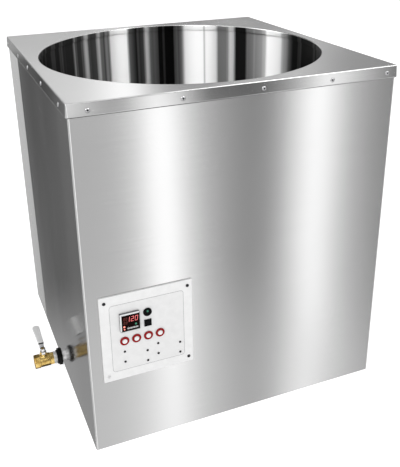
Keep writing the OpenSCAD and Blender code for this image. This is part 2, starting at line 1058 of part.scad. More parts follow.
module panel_screw_holes() {
    at_corner_screws()
        translate([0, 0, -panel_t - sheet_t - eps])
            cylinder(r = panel_screw_r + run, h = panel_t + sheet_t + 2 * eps);
}

module control_panel() {
    color("white")
        difference() {
            on_front([0, 0])
                translate([0, 0, panel_back])
                    linear_extrude(panel_t)
                        rounded_rect(panel_w, panel_h, panel_r);
            panel_screw_holes();
            component_holes();
        }
}

module panel_overlay() {
    color("whitesmoke")
        difference() {
            on_front([0, 0])
                translate([0, 0, -overlay_t])
                    linear_extrude(overlay_t)
                        rounded_rect(overlay_w, overlay_h, overlay_r);
            component_holes();
        }
}

// Holes through the panel and its overlay for everything that passes them
module component_holes() {
    hole_l = panel_t + overlay_t + 2 * eps;
    square_hole_w = square_switch_w - 2 * (case_inset + 0.2 - panel_gap);
    on_front(controller_at)
        translate([0, 0, -hole_l / 2 + eps])
            cube([housing_w + 2 * cutout_gap, housing_w + 2 * cutout_gap, hole_l], center = true);
    on_front(round_at)
        translate([0, 0, eps - hole_l])
            cylinder(r = round_switch_d / 2 - case_inset + run, h = hole_l);
    on_front(square_at)
        translate([0, 0, -hole_l / 2 + eps])
            cube([square_hole_w, square_hole_w, hole_l], center = true);
    for (k = [0 : 3])
        on_front([button_x0 + k * button_pitch, button_y])
            translate([0, 0, eps - hole_l])
                cylinder(r = barrel_r + run, h = hole_l);
    for (m = module_at, s = module_screws)
        on_front(m + s)
            translate([0, 0, eps - hole_l])
                cylinder(r = module_screw_r + run, h = hole_l);
}

module panel_screws() {
    color("dimgray")
        at_corner_screws()
            screw(panel_screw_r, 1.6, panel_t + sheet_t + screw_spare);
}

module module_screw_set() {
    color("dimgray")
        for (m = module_at, s = module_screws)
            on_front(m + s)
                screw(module_screw_r, 1.2, panel_t + overlay_t + screw_spare);
}

// Two relays on bases whose lugs are staggered, as their screws are
module relay_modules() {
    color("black")
        for (m = module_at)
            on_front(m)
                translate([0, 0, panel_back - relay_h])
                    difference() {
                        union() {
                            translate([-relay_w / 2, -relay_w / 2, 0])
                                cube([relay_w, relay_w, relay_h]);
                            translate([-relay_lug_w, 6 - relay_w / 2 + 2, relay_h - relay_lug_h])
                                cube([relay_lug_w, relay_w - 4, relay_lug_h]);
                            translate([0, -relay_w / 2 - 4, relay_h - relay_lug_h])
                                cube([relay_lug_w, relay_w - 4, relay_lug_h]);
                        }
                        for (s = module_screws)
                            translate([s[0], s[1], relay_h - relay_lug_h + 1])
                                cylinder(r = module_screw_r + run, h = relay_lug_h);
                    }
}

// Moulded case with a chamfered bezel, a recess for the window and wells for the keys
module controller_body() {
    color("gainsboro")
        on_front(controller_at)
            difference() {
                union() {
                    bezel_block();
                    translate([-housing_w / 2, -housing_w / 2, -controller_depth])
                        cube([housing_w, housing_w, controller_depth]);
                }
                translate([window_x - window_w / 2, window_y - window_h / 2, window_z])
                    cube([window_w, window_h, window_t + eps]);
                key_wells();
            }
}

module bezel_block() {
    chamfer = 1.5;
    difference() {
        translate([0, 0, bezel_h / 2])
            cube([controller_w, controller_w, bezel_h], center = true);
        for (a = [0, 90, 180, 270])
            rotate([0, 0, a])
                translate([controller_w / 2, 0, bezel_h])
                    rotate([0, 45, 0])
                        cube([chamfer * sqrt(2), 2 * controller_w, chamfer * sqrt(2)], center = true);
    }
}

module key_wells() {
    for (k = [0 : 3])
        translate([key_last_x - k * key_pitch - key_w / 2 - fit, key_y - key_h / 2 - fit, key_floor])
            cube([key_w + 2 * fit, key_h + 2 * fit, bezel_h]);
}

module controller_window() {
    color("black")
        on_front(controller_at)
            difference() {
                translate([window_x, window_y, window_z + window_t / 2])
                    cube([window_w - 2 * run, window_h - 2 * run, window_t], center = true);
                key_wells();
            }
}

module controller_clamp() {
    color("dimgray")
        on_front(controller_at)
            translate([0, 0, panel_back - clamp_t / 2])
                difference() {
                    cube([housing_w + 2 * clamp_w, housing_w + 2 * clamp_w, clamp_t], center = true);
                    cube([housing_w + 2 * cutout_gap, housing_w + 2 * cutout_gap, 2 * clamp_t],
                        center = true);
                }
}

// Key k of the controller, counted from the left
module key(k) {
    color("lightgray")
        on_front(controller_at)
            translate([key_last_x - (4 - k) * key_pitch - key_w / 2, key_y - key_h / 2,
                key_floor + key_travel + fit])
                cube([key_w, key_h, bezel_h + key_proud - key_floor - key_travel - fit]);
}

// Body of a rocker switch: a bezel on the panel, a case behind it and a pocket for the rocker
module rocker_pocket(w) {
    translate([-w / 2 - fit, -rocker_r - fit, rocker_pivot - rocker_r - fit])
        cube([w + 2 * fit, 2 * (rocker_r + fit), rocker_r + 10]);
    translate([0, 0, rocker_pivot])
        rotate([0, 90, 0])
            cylinder(r = pivot_r + run, h = w + 2 * (pin_l + fit), center = true);
}

module round_switch() {
    color("black")
        on_front(round_at)
            difference() {
                union() {
                    cylinder(d = round_switch_d, h = switch_bezel_h);
                    translate([0, 0, -switch_depth])
                        cylinder(r = round_switch_d / 2 - case_inset, h = switch_depth);
                }
                rocker_pocket(round_rocker_w);
            }
}

module square_switch() {
    case_w = square_switch_w - 2 * (case_inset + 0.2);
    color("black")
        on_front(square_at)
            difference() {
                union() {
                    translate([0, 0, switch_bezel_h / 2])
                        cube([square_switch_w, square_switch_w, switch_bezel_h], center = true);
                    translate([0, 0, -switch_depth / 2])
                        cube([case_w, case_w, switch_depth + eps], center = true);
                }
                rocker_pocket(square_rocker_w);
            }
}

// Rocker of the given width, tilted about its pivot, with its two pivot pins
module rocker(w) {
    translate([0, 0, rocker_pivot]) {
        rotate([-rocker_tilt, 0, 0])
            translate([-w / 2, 0, 0])
                rotate([90, 0, 90])
                    linear_extrude(w)
                        intersection() {
                            circle(rocker_r);
                            polygon([
                                [-rocker_r, -0.7 * rocker_r],
                                [rocker_r, -0.7 * rocker_r],
                                [rocker_r, rocker_edge],
                                [0, rocker_dip],
                                [-rocker_r, rocker_edge]]);
                        }
        rotate([0, 90, 0])
            cylinder(r = pivot_r, h = w + 2 * pin_l, center = true);
    }
}

// Space of the small lens in the upper half of the round rocker
module lens_block(gap) {
    translate([0, 0, rocker_pivot])
        rotate([-rocker_tilt, 0, 0])
            translate([-lens_w / 2 - gap, lens_low - gap, 0.8 - gap])
                cube([lens_w + 2 * gap, lens_h + 2 * gap, lens_t + 2 * gap]);
}

module round_rocker() {
    color("black")
        on_front(round_at)
            difference() {
                rocker(round_rocker_w);
                lens_block(run);
            }
}

module round_lens() {
    color("mediumaquamarine")
        on_front(round_at)
            lens_block(0);
}

module square_rocker() {
    color("black")
        on_front(square_at)
            rocker(square_rocker_w);
}

// Red rings with the barrels that hold the caps
module button_rings() {
    color("firebrick")
        for (k = [0 : 3])
            on_front([button_x0 + k * button_pitch, button_y])
                difference() {
                    union() {
                        cylinder(d = ring_d, h = ring_h);
                        translate([0, 0, -barrel_l])
                            cylinder(r = barrel_r, h = barrel_l);
                    }
                    translate([0, 0, cap_back - button_travel - 1])
                        cylinder(r = cap_d / 2 + fit, h = 2 * barrel_l);
                }
}

module button_nuts() {
    color("silver")
        for (k = [0 : 3])
            on_front([button_x0 + k * button_pitch, button_y])
                translate([0, 0, panel_back - button_nut_t])
                    difference() {
                        hex_bar(2 * barrel_r + 4, button_nut_t);
                        translate([0, 0, -eps])
                            cylinder(r = barrel_r + run, h = button_nut_t + 2 * eps);
                    }
}

// Cap of button k, counted from the left
module button_cap(k) {
    color("white")
        on_front([button_x0 + (k - 1) * button_pitch, button_y])
            translate([0, 0, cap_back])
                cylinder(d = cap_d, h = cap_front - cap_back);
}

// Inlet and wiring

// Gland in the back panel: a body with hexagon and dome, and a loose nut inside
module cord_gland() {
    color("dimgray")
        translate([gland_x, body_y, gland_z])
            rotate([-90, 0, 0]) {
                difference() {
                    union() {
                        translate([0, 0, -sheet_t - gland_thread_l])
                            cylinder(r = gland_r, h = sheet_t + gland_thread_l);
                        hex_bar(gland_hex_af, gland_hex_t);
                        cylinder(r = gland_dome_r, h = gland_dome_l);
                        translate([0, 0, gland_dome_l])
                            cylinder(r1 = gland_dome_r, r2 = 0.75 * gland_dome_r, h = gland_l - gland_dome_l);
                    }
                    translate([0, 0, -sheet_t - gland_thread_l - eps])
                        cylinder(r = gland_bore_r, h = sheet_t + gland_thread_l + gland_l + 2 * eps);
                }
                translate([0, 0, -sheet_t - gland_hex_t])
                    difference() {
                        hex_bar(gland_hex_af, gland_hex_t);
                        translate([0, 0, -eps])
                            cylinder(r = gland_r + run, h = gland_hex_t + 2 * eps);
                    }
            }
}

module terminal_block() {
    color("ivory")
        translate([loom_x - block_l / 2, block_y, base_t])
            difference() {
                cube([block_l, block_w, block_h]);
                for (k = [0 : block_screws - 1])
                    translate([(k + 0.5) * block_pitch, block_w / 2, block_h - 5])
                        cylinder(r = terminal_r, h = 5 + eps);
            }
}

// Bundle from the terminal block along the floor and up to the controller
module wiring_loom() {
    start_y = block_y + block_w / 2 - 8;
    color("darkslategray") {
        translate([loom_x, start_y, base_t + block_h])
            cylinder(r = loom_r, h = loom_z - base_t - block_h);
        translate([loom_x, start_y, loom_z])
            sphere(loom_r);
        translate([loom_x, start_y, loom_z])
            rotate([90, 0, 0])
                cylinder(r = loom_r, h = start_y - loom_y);
        translate([loom_x, loom_y, loom_z])
            sphere(loom_r);
        translate([loom_x, loom_y, loom_z])
            cylinder(r = loom_r, h = loom_top - loom_z);
        translate([loom_x, loom_y, loom_top])
            sphere(loom_r);
        translate([loom_x, loom_y, loom_top])
            rotate([90, 0, 0])
                cylinder(r = loom_r, h = loom_y - face_y - controller_depth);
    }
}

top_plate();
top_rivets();
casing_wrap();
back_panel();
back_screws();
base_plate();
base_frame();
corner_posts();
support_plate();
vessel();
heater_bands();
band_screws();
floor_heater();
blanket();
floor_insulation();
probe_boss();
temperature_probe();
limit_thermostat();
drain_stub();
drain_elbow();
drain_pipe();
inner_locknut();
spacer_sleeve();
side_locknut();
valve_end();
valve_body();
valve_seats();
valve_ball();
valve_stem();
stem_packing();
gland_nut();
valve_lever();
lever_nut();
lever_sleeve();
control_panel();
panel_overlay();
panel_screws();
module_screw_set();
relay_modules();
controller_body();
controller_window();
controller_clamp();
key(1);  // key_1
key(2);  // key_2
key(3);  // key_3
key(4);  // key_4
round_switch();
round_rocker();
round_lens();
square_switch();
square_rocker();
button_rings();
button_nuts();
button_cap(1);  // button_cap_1
button_cap(2);  // button_cap_2
button_cap(3);  // button_cap_3
button_cap(4);  // button_cap_4
cord_gland();
terminal_block();
wiring_loom();
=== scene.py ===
"""Looks of the melting tank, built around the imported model."""
import json
import math

import bmesh
import bpy
from mathutils import Matrix, Vector


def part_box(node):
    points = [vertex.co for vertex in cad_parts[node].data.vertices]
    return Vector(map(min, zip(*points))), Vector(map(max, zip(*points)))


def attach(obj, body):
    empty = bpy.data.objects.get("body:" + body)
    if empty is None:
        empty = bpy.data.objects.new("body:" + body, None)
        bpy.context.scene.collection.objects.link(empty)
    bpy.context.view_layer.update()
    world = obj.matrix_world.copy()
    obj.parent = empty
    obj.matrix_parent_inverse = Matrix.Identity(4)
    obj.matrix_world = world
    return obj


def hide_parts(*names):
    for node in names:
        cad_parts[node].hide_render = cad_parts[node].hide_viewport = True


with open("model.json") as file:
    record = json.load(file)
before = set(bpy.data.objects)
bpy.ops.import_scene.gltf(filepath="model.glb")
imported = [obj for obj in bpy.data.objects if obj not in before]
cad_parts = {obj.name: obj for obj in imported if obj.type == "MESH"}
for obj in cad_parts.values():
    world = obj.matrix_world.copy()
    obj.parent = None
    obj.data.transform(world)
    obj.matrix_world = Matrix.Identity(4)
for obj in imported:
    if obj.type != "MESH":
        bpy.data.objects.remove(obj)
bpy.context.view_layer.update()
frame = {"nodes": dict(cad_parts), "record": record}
nodes = frame["nodes"]

MM = 0.001
SHEET = 1.5 * MM
PLATE = 2 * MM
BEND = 4 * MM
FIT = 0.3 * MM
WELD = 1e-7

# Top plate: how far its flange leans out, the radius of its bends, its collar and its turned-in edge
FLARE = math.radians(3.5)
TOP_BEND = 2.8 * MM
COLLAR_H = 16 * MM
HEM_GAP = 1.4 * MM


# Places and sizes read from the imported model

def centre(node):
    """Middle of a CAD node's box."""
    low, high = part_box(node)
    return (low + high) / 2


def size(node):
    """Width, depth and height of a CAD node's box."""
    low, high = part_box(node)
    return high - low


TOP_LOW, TOP_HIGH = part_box("top_plate")
WRAP_LOW, WRAP_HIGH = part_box("casing_wrap")
POT_LOW, POT_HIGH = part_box("vessel")
TOP_Z = TOP_HIGH.z
HALF_W = TOP_HIGH.x
OPENING_R = 372 * MM
VESSEL_FLOOR_R = 30 * MM
RETURN_W = 20 * MM
FACE_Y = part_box("panel_overlay")[0].y
PANEL_AT = centre("control_panel")
PANEL_SIZE = size("control_panel")
OVERLAY_T = 0.4 * MM
DRAIN_AT = centre("drain_pipe")
SIDE_X = WRAP_LOW.x

# Places on the panel in millimetres from its middle, x to the right and y up
CONTROLLER_XY = (-44.4, 42.2)
CONTROLLER_W = 48 * MM
ROUND_XY = (0, 54.8)
SQUARE_XY = (0, 25.5)
BUTTON_PITCH = 29.3
BUTTONS_XY = [(BUTTON_PITCH * (k - 1.5) - 14.7, -10) for k in range(4)]
MODULES_XY = [(-31.7, -60.5), (51.5, -60.5)]
MODULE_SCREWS_XY = [(-28, 20.5), (-28, -8.2), (28, 8.2), (28, -20.5)]


def on_front(x, z, y):
    """Frame on the front: local z points out of it, local y up."""
    axes = Matrix(((1, 0, 0, 0), (0, 0, -1, 0), (0, 1, 0, 0), (0, 0, 0, 1)))
    return Matrix.Translation((x, y, z)) @ axes


def on_panel(spot=(0, 0), y=FACE_Y):
    """The same at a spot in millimetres from the panel's middle."""
    return on_front(PANEL_AT.x + spot[0] * MM, PANEL_AT.z + spot[1] * MM, y)


def on_drain(x):
    """Frame on the drain's axis: local z points out of the left side, local x up."""
    axes = Matrix(((0, 0, -1, 0), (0, 1, 0, 0), (1, 0, 0, 0), (0, 0, 0, 1)))
    return Matrix.Translation((x, DRAIN_AT.y, DRAIN_AT.z)) @ axes


# Materials

def new_material(name, color, metallic=0.0, roughness=0.5, **extra):
    """Plain material; further inputs are named with underscores."""
    mat = bpy.data.materials.new(name)
    mat.use_nodes = True
    shader = mat.node_tree.nodes["Principled BSDF"]
    shader.inputs["Base Color"].default_value = (*color, 1)
    shader.inputs["Metallic"].default_value = metallic
    shader.inputs["Roughness"].default_value = roughness
    for key, value in extra.items():
        shader.inputs[key.replace("_", " ")].default_value = value
    return mat


def noise(mat, scale, stretch=(1, 1, 1), detail=3.0):
    """Noise in the object's own metres, stretched along the axes."""
    tree = mat.node_tree
    coords = tree.nodes.new("ShaderNodeTexCoord")
    mapping = tree.nodes.new("ShaderNodeMapping")
    mapping.inputs["Scale"].default_value = stretch
    texture = tree.nodes.new("ShaderNodeTexNoise")
    texture.inputs["Scale"].default_value = scale
    texture.inputs["Detail"].default_value = detail
    tree.links.new(coords.outputs["Object"], mapping.inputs["Vector"])
    tree.links.new(mapping.outputs["Vector"], texture.inputs["Vector"])
    return texture.outputs["Fac"]


# The stretch of a noise's values that shades run over
NOISE_LOW = 0.3
NOISE_HIGH = 0.7


def spread(mat, value, low, high, start=NOISE_LOW, end=NOISE_HIGH):
    """Maps noise between start and end to the range from low to high."""
    node = mat.node_tree.nodes.new("ShaderNodeMapRange")
    node.inputs["From Min"].default_value = start
    node.inputs["From Max"].default_value = end
    node.inputs["To Min"].default_value = low
    node.inputs["To Max"].default_value = high
    mat.node_tree.links.new(value, node.inputs["Value"])
    return node.outputs["Result"]


def vary_roughness(mat, value, low, high):
    """Roughness that follows a noise."""
    shader = mat.node_tree.nodes["Principled BSDF"]
    mat.node_tree.links.new(spread(mat, value, low, high), shader.inputs["Roughness"])


def vary_color(mat, value, dark, light):
    """Colour that follows a noise."""
    tree = mat.node_tree
    shades = tree.nodes.new("ShaderNodeValToRGB")
    levels = shades.color_ramp.elements
    for level, position, color in zip(levels, (NOISE_LOW, NOISE_HIGH), (dark, light)):
        level.position = position
        level.color = (*color, 1)
    tree.links.new(value, shades.inputs["Fac"])
    tree.links.new(shades.outputs["Color"], tree.nodes["Principled BSDF"].inputs["Base Color"])


def bump(mat, value, distance, strength=1.0):
    """Relief that follows a noise."""
    tree = mat.node_tree
    node = tree.nodes.new("ShaderNodeBump")
    node.inputs["Distance"].default_value = distance
    node.inputs["Strength"].default_value = strength
    tree.links.new(value, node.inputs["Height"])
    tree.links.new(node.outputs["Normal"], tree.nodes["Principled BSDF"].inputs["Normal"])


def radial_tangent(mat):
    """Lies along the grain that runs round the upright axis, so that highlights stretch across it."""
    tree = mat.node_tree
    tangent = tree.nodes.new("ShaderNodeTangent")
    tangent.direction_type = "RADIAL"
    tangent.axis = "Z"
    tree.links.new(tangent.outputs["Tangent"], tree.nodes["Principled BSDF"].inputs["Tangent"])


def math_node(tree, operation, *values):
    """A sum of numbers and sockets; returns its output."""
    node = tree.nodes.new("ShaderNodeMath")
    node.operation = operation
    for socket, value in zip(node.inputs, values):
        if isinstance(value, (int, float)):
            socket.default_value = value
        else:
            tree.links.new(value, socket)
    return node.outputs[0]


def grey_ramp(tree, share, stops, full):
    """Grey levels along a share of the full range; each stop is (place in that range, level)."""
    node = tree.nodes.new("ShaderNodeValToRGB")
    levels = node.color_ramp.elements
    while len(levels) < len(stops):
        levels.new(0.5)
    for level, (place, value) in zip(levels, stops):
        level.position = place / full
        level.color = (value, value, value, 1)
    tree.links.new(share, node.inputs["Fac"])
    return node.outputs["Color"]


def brushed_steel(name, grain, roughness=0.125, color=(0.70, 0.70, 0.70), anisotropic=0.9,
                  mottled=False):
    """Satin sheet: grain is the stretch that runs the scratches along the sheet."""
    mat = new_material(name, color, metallic=1.0, roughness=roughness,
                       Anisotropic=anisotropic, Anisotropic_Rotation=0.25)
    if anisotropic:
        radial_tangent(mat)
    scratches = noise(mat, 1.0, grain, detail=2)
    smears = noise(mat, 3.5, (1, 1, 0.35), detail=3)
    vary_roughness(mat, smears, roughness - 0.015, roughness + 0.02)
    pattern, depth = (smears, 0.84) if mottled else (scratches, 0.955)
    vary_color(mat, pattern, tuple(c * depth for c in color), color)
    bump(mat, scratches, 0.003 * MM, 0.3)
    return mat


# Painted reflections on the rolled wall: light and dark upright bands in its colour, by the angle round it,
# from 20 degrees behind the right side
WALL_PAINTED_REFLECTIONS = [(0, 0.03), (27, 0.03), (31, 0.3), (34.5, 0.6), (35.5, 0.95), (44, 0.95),
               (45.2, 0.35), (54.5, 0.28), (56, 0.02), (61.5, 0.02), (62.3, 0.95), (64.5, 0.95),
               (65.3, 0.28), (70.5, 0.25), (71.3, 0.95), (76.6, 0.95), (77.3, 0.45), (78, 0.95),
               (87, 0.95), (88.3, 0.25), (92, 0.01), (100, 0.02), (104.4, 0.3), (105, 1.0), (106.4, 1.0),
               (107.2, 0.12), (111, 0.015), (115, 0.15), (116, 1.0), (124.5, 1.0), (125.5, 0.16)]
FAR_PAINTED_REFLECTIONS = [(125.5, 0.16), (127, 0.4), (128, 0.12), (130, 0.1), (130.6, 0.8), (132, 0.7), (132.8, 0.12),
              (137, 0.08), (138, 0.9), (139.6, 0.85), (140.4, 0.08), (145.6, 0.08), (146.3, 0.6),
              (147.2, 0.05), (156, 0.05), (157, 0.2), (158, 0.04), (165, 0.06), (180, 0.01)]
WALL_TURN = math.radians(20)
# Fine upright streaks of painted reflection screened over the bands, and their scale along the angle
STREAKS = 0.13
STREAKS_SCALE = 38


def tank_steel():
    """Bright rolled inside: its grain runs round the wall, and painted reflections, light and dark upright
    bands with fine streaks, run round it in its colour.
    """
    mat = new_material("tank_steel", (0.74, 0.74, 0.75), metallic=1.0, roughness=0.45,
                       Anisotropic=1.0, Anisotropic_Rotation=0.25)
    radial_tangent(mat)
    tree = mat.node_tree
    link = tree.links.new
    coords = tree.nodes.new("ShaderNodeTexCoord")
    turned = tree.nodes.new("ShaderNodeMapping")
    turned.inputs["Rotation"].default_value = (0, 0, WALL_TURN)
    split = tree.nodes.new("ShaderNodeSeparateXYZ")
    link(coords.outputs["Object"], turned.inputs["Vector"])
    link(turned.outputs["Vector"], split.inputs[0])
    angle = math_node(tree, "ARCTAN2", split.outputs["Y"], split.outputs["X"])
    share = math_node(tree, "DIVIDE", math_node(tree, "ABSOLUTE", angle), math.pi)
    # Painted reflections: grey levels by the angle round the wall, with painted streaks screened over them,
    # make the base colour
    joined = tree.nodes.new("ShaderNodeMix")
    joined.data_type = "RGBA"
    link(math_node(tree, "GREATER_THAN", share, FAR_PAINTED_REFLECTIONS[0][0] / 180), joined.inputs["Factor"])
    link(grey_ramp(tree, share, WALL_PAINTED_REFLECTIONS, 180), joined.inputs["A"])
    link(grey_ramp(tree, share, FAR_PAINTED_REFLECTIONS, 180), joined.inputs["B"])
    streaks = tree.nodes.new("ShaderNodeTexNoise")
    streaks.noise_dimensions = "1D"
    streaks.inputs["Scale"].default_value = STREAKS_SCALE
    streaks.inputs["Detail"].default_value = 1
    link(share, streaks.inputs["W"])
    layer = tree.nodes.new("ShaderNodeMix")
    layer.data_type = "RGBA"
    layer.blend_type = "SCREEN"
    layer.inputs["Factor"].default_value = 1
    link(joined.outputs["Result"], layer.inputs["A"])
    link(spread(mat, streaks.outputs["Fac"], 0, STREAKS, 0.52, 0.6), layer.inputs["B"])
    link(layer.outputs["Result"], tree.nodes["Principled BSDF"].inputs["Base Color"])
    return mat


def bright_steel(name="bright_steel", color=(0.78, 0.78, 0.79), roughness=0.18, metallic=1.0):
    """Smooth metal with faint marks."""
    mat = new_material(name, color, metallic=metallic, roughness=roughness)
    marks = noise(mat, 160, detail=3)
    vary_roughness(mat, marks, roughness - 0.05, roughness + 0.1)
    return mat


def mill_steel():
    """Dull steel of the inner frame."""
    mat = new_material("mill_steel", (0.38, 0.38, 0.39), metallic=1.0, roughness=0.45)
    scale = noise(mat, 22, detail=6)
    vary_color(mat, scale, (0.27, 0.27, 0.28), (0.46, 0.46, 0.47))
    vary_roughness(mat, scale, 0.38, 0.6)
    return mat


def cast_brass():
    """Brass with pits and tarnish."""
    roughness = 0.2
    mat = new_material("cast_brass", (0.66, 0.44, 0.13), metallic=1.0, roughness=roughness)
    pits = noise(mat, 420, detail=4)
    tarnish = noise(mat, 70, detail=3)
    vary_color(mat, tarnish, (0.44, 0.27, 0.06), (0.84, 0.62, 0.24))
    vary_roughness(mat, pits, roughness - 0.04, roughness + 0.12)
    bump(mat, pits, 0.04 * MM, 0.5)
    return mat


def moulded(name, color, roughness, grain=0.02, scale=900, **extra):
    """Plastic with a fine moulded grain."""
    mat = new_material(name, color, roughness=roughness, **extra)
    texture = noise(mat, scale, detail=2)
    vary_roughness(mat, texture, max(roughness - 0.04, 0.02), roughness + 0.06)
    shade = tuple(c * 0.94 for c in color)
    vary_color(mat, noise(mat, 60), shade, color)
    bump(mat, texture, grain * MM, 0.4)
    return mat


def mineral_felt():
    """Pale fibrous insulation."""
    mat = new_material("mineral_felt", (0.84, 0.81, 0.72), roughness=0.95)
    fibres = noise(mat, 300, (1, 1, 3), detail=8)
    vary_color(mat, fibres, (0.66, 0.61, 0.48), (0.90, 0.88, 0.80))
    bump(mat, fibres, 1.0 * MM, 0.8)
    return mat


def mica_band():
    """Flaky cover of the heaters."""
    mat = new_material("mica_band", (0.56, 0.45, 0.28), metallic=0.6, roughness=0.5)
    flakes = noise(mat, 90, detail=5)
    vary_color(mat, flakes, (0.42, 0.31, 0.18), (0.66, 0.55, 0.36))
    vary_roughness(mat, flakes, 0.35, 0.6)
    return mat


def glow(name, color, strength, base=(0.05, 0.0, 0.0)):
    """Lit plastic."""
    mat = new_material(name, base, roughness=0.3)
    shader = mat.node_tree.nodes["Principled BSDF"]
    shader.inputs["Emission Color"].default_value = (*color, 1)
    shader.inputs["Emission Strength"].default_value = strength
    vary_roughness(mat, noise(mat, 800), 0.25, 0.4)
    return mat


SIDE_GRAIN = (5, 5, 900)
TOP_GRAIN = (5, 900, 5)
MATERIALS = {
    "brushed_steel": brushed_steel("side_steel", SIDE_GRAIN),
    "left_steel": brushed_steel("left_steel", SIDE_GRAIN, color=(0.75, 0.75, 0.75), mottled=True),
    "flange_steel": brushed_steel("flange_steel", SIDE_GRAIN, roughness=0.09, anisotropic=0.5),
    "top_steel": brushed_steel("top_steel", TOP_GRAIN, roughness=0.18, anisotropic=0.0, mottled=True),
    "tank_steel": tank_steel(),
    "bright_steel": bright_steel(),
    "rivet_steel": bright_steel("rivet_steel", (0.52, 0.52, 0.53), 0.3),
    "satin_steel": bright_steel("satin_steel", (0.92, 0.92, 0.92), 0.3, 0.4),
    "chromed_ball": bright_steel("chromed_ball", (0.85, 0.85, 0.86), 0.08),
    "frame_steel": mill_steel(),
    "heater_mica": mica_band(),
    "mineral_blanket": mineral_felt(),
    "black_nut": moulded("black_nut", (0.004, 0.004, 0.004), 0.22, 0.02, Specular_IOR_Level=0.12),
    "valve_brass": cast_brass(),
    "white_seal": moulded("white_seal", (0.86, 0.86, 0.85), 0.3),
    "pale_sleeve": moulded("pale_sleeve", (0.90, 0.90, 0.90), 0.2, 0.05, 260),
    "panel_white": moulded("panel_white", (0.80, 0.80, 0.80), 0.38, 0.01),
    "overlay_white": moulded("overlay_white", (0.76, 0.76, 0.76), 0.42, 0.008),
    "overlay_line": moulded("overlay_line", (0.30, 0.30, 0.31), 0.5, 0.0),
    "dark_screw": bright_steel("dark_screw", (0.035, 0.035, 0.038), 0.35),
    "pale_screw": moulded("pale_screw", (0.68, 0.68, 0.68), 0.4, 0.0),
    "black_case": moulded("black_case", (0.008, 0.008, 0.008), 0.35, Specular_IOR_Level=0.3),
    "bezel_grey": moulded("bezel_grey", (0.74, 0.75, 0.76), 0.25, 0.01),
    "bezel_side": moulded("bezel_side", (0.12, 0.12, 0.125), 0.35, 0.01),
    "display_window": moulded("display_window", (0.006, 0.0008, 0.0008), 0.2, 0.0,
                              Specular_IOR_Level=0.04),
    "digit_red": glow("digit_red", (1.0, 0.22, 0.22), 1.15),
    "digit_dim": glow("digit_dim", (0.35, 0.06, 0.04), 0.25),
    "lamp_red": glow("lamp_red", (1.0, 0.28, 0.22), 1.8),
    "lamp_green": glow("lamp_green", (0.06, 0.34, 0.20), 0.5, (0.0, 0.05, 0.03)),
    "key_grey": moulded("key_grey", (0.45, 0.45, 0.46), 0.4),
    "switch_black": moulded("switch_black", (0.004, 0.004, 0.0045), 0.25, 0.01, Specular_IOR_Level=0.06),
    "green_lens": moulded("green_lens", (0.03, 0.20, 0.12), 0.15, 0.0),
    "ring_red": moulded("ring_red", (0.27, 0.003, 0.005), 0.25, 0.0, Specular_IOR_Level=0.15),
    "cap_white": moulded("cap_white", (0.82, 0.82, 0.82), 0.25, 0.0),
    "terminal_ivory": moulded("terminal_ivory", (0.78, 0.74, 0.62), 0.45),
    "loom_sleeve": moulded("loom_sleeve", (0.03, 0.03, 0.035), 0.6, 0.2, 400),
    "floor_white": new_material("floor_white", (0.6, 0.6, 0.6), roughness=0.9,
                                Emission_Color=(1, 1, 1, 1), Emission_Strength=0.78),
}


# Building meshes

def arc(cx, cy, r, start, end, steps):
    """Points of an arc, with its angles in degrees."""
    angles = [math.radians(start + (end - start) * k / steps) for k in range(steps + 1)]
    return [(cx + r * math.cos(a), cy + r * math.sin(a)) for a in angles]


def add_lathe(bm, profile, matrix=Matrix(), segments=64, closed=False):
    """Turns a profile of (radius, height) about the local z axis."""
    rings = []
    for r, z in profile:
        if r < WELD:
            rings.append([bm.verts.new(matrix @ Vector((0, 0, z)))] * segments)
            continue
        turns = [2 * math.pi * k / segments for k in range(segments)]
        rings.append([bm.verts.new(matrix @ Vector((r * math.cos(t), r * math.sin(t), z)))
                      for t in turns])
    pairs = list(zip(rings, rings[1:]))
    if closed:
        pairs.append((rings[-1], rings[0]))
    for a, b in pairs:
        for k in range(segments):
            m = (k + 1) % segments
            corners = list(dict.fromkeys([a[k], a[m], b[m], b[k]]))
            if len(corners) > 2:
                bm.faces.new(corners)


def add_prism(bm, outline, low, high, matrix=Matrix()):
    """Closed block over a flat outline, from local z low to high."""
    bottom = [bm.verts.new(matrix @ Vector((x, y, low))) for x, y in outline]
    top = [bm.verts.new(matrix @ Vector((x, y, high))) for x, y in outline]
    bm.faces.new(bottom)
    bm.faces.new(top)
    for k in range(len(outline)):
        m = (k + 1) % len(outline)
        bm.faces.new([bottom[k], bottom[m], top[m], top[k]])


def in_mm(points):
    """The same points, given in millimetres, in metres."""
    return [(x * MM, y * MM) for x, y in points]


def rounded_outline(w, h, r, steps=8):
    """Rectangle about the origin with round corners."""
    points = []
    for k, (sx, sy) in enumerate([(1, 1), (-1, 1), (-1, -1), (1, -1)]):
        points += arc(sx * (w / 2 - r), sy * (h / 2 - r), r, 90 * k, 90 * k + 90, steps)
    return points


def box_outline(x0, y0, x1, y1):
    """Rectangle between two corners."""
    return [(x0, y0), (x1, y0), (x1, y1), (x0, y1)]


def polygon_outline(r, sides):
    """Regular polygon about the origin."""
    return arc(0, 0, r, 0, 360, sides)[:-1]


def object_from(name, bm, *materials):
    """Smooth-shaded object with the shape in bm."""
    bmesh.ops.remove_doubles(bm, verts=bm.verts, dist=WELD)
    bmesh.ops.recalc_face_normals(bm, faces=bm.faces)
    for face in bm.faces:
        face.smooth = True
    mesh = bpy.data.meshes.new(name)
    bm.to_mesh(mesh)
    bm.free()
    obj = bpy.data.objects.new(name, mesh)
    bpy.context.scene.collection.objects.link(obj)
    for mat in materials:
        mesh.materials.append(MATERIALS[mat])
    return obj


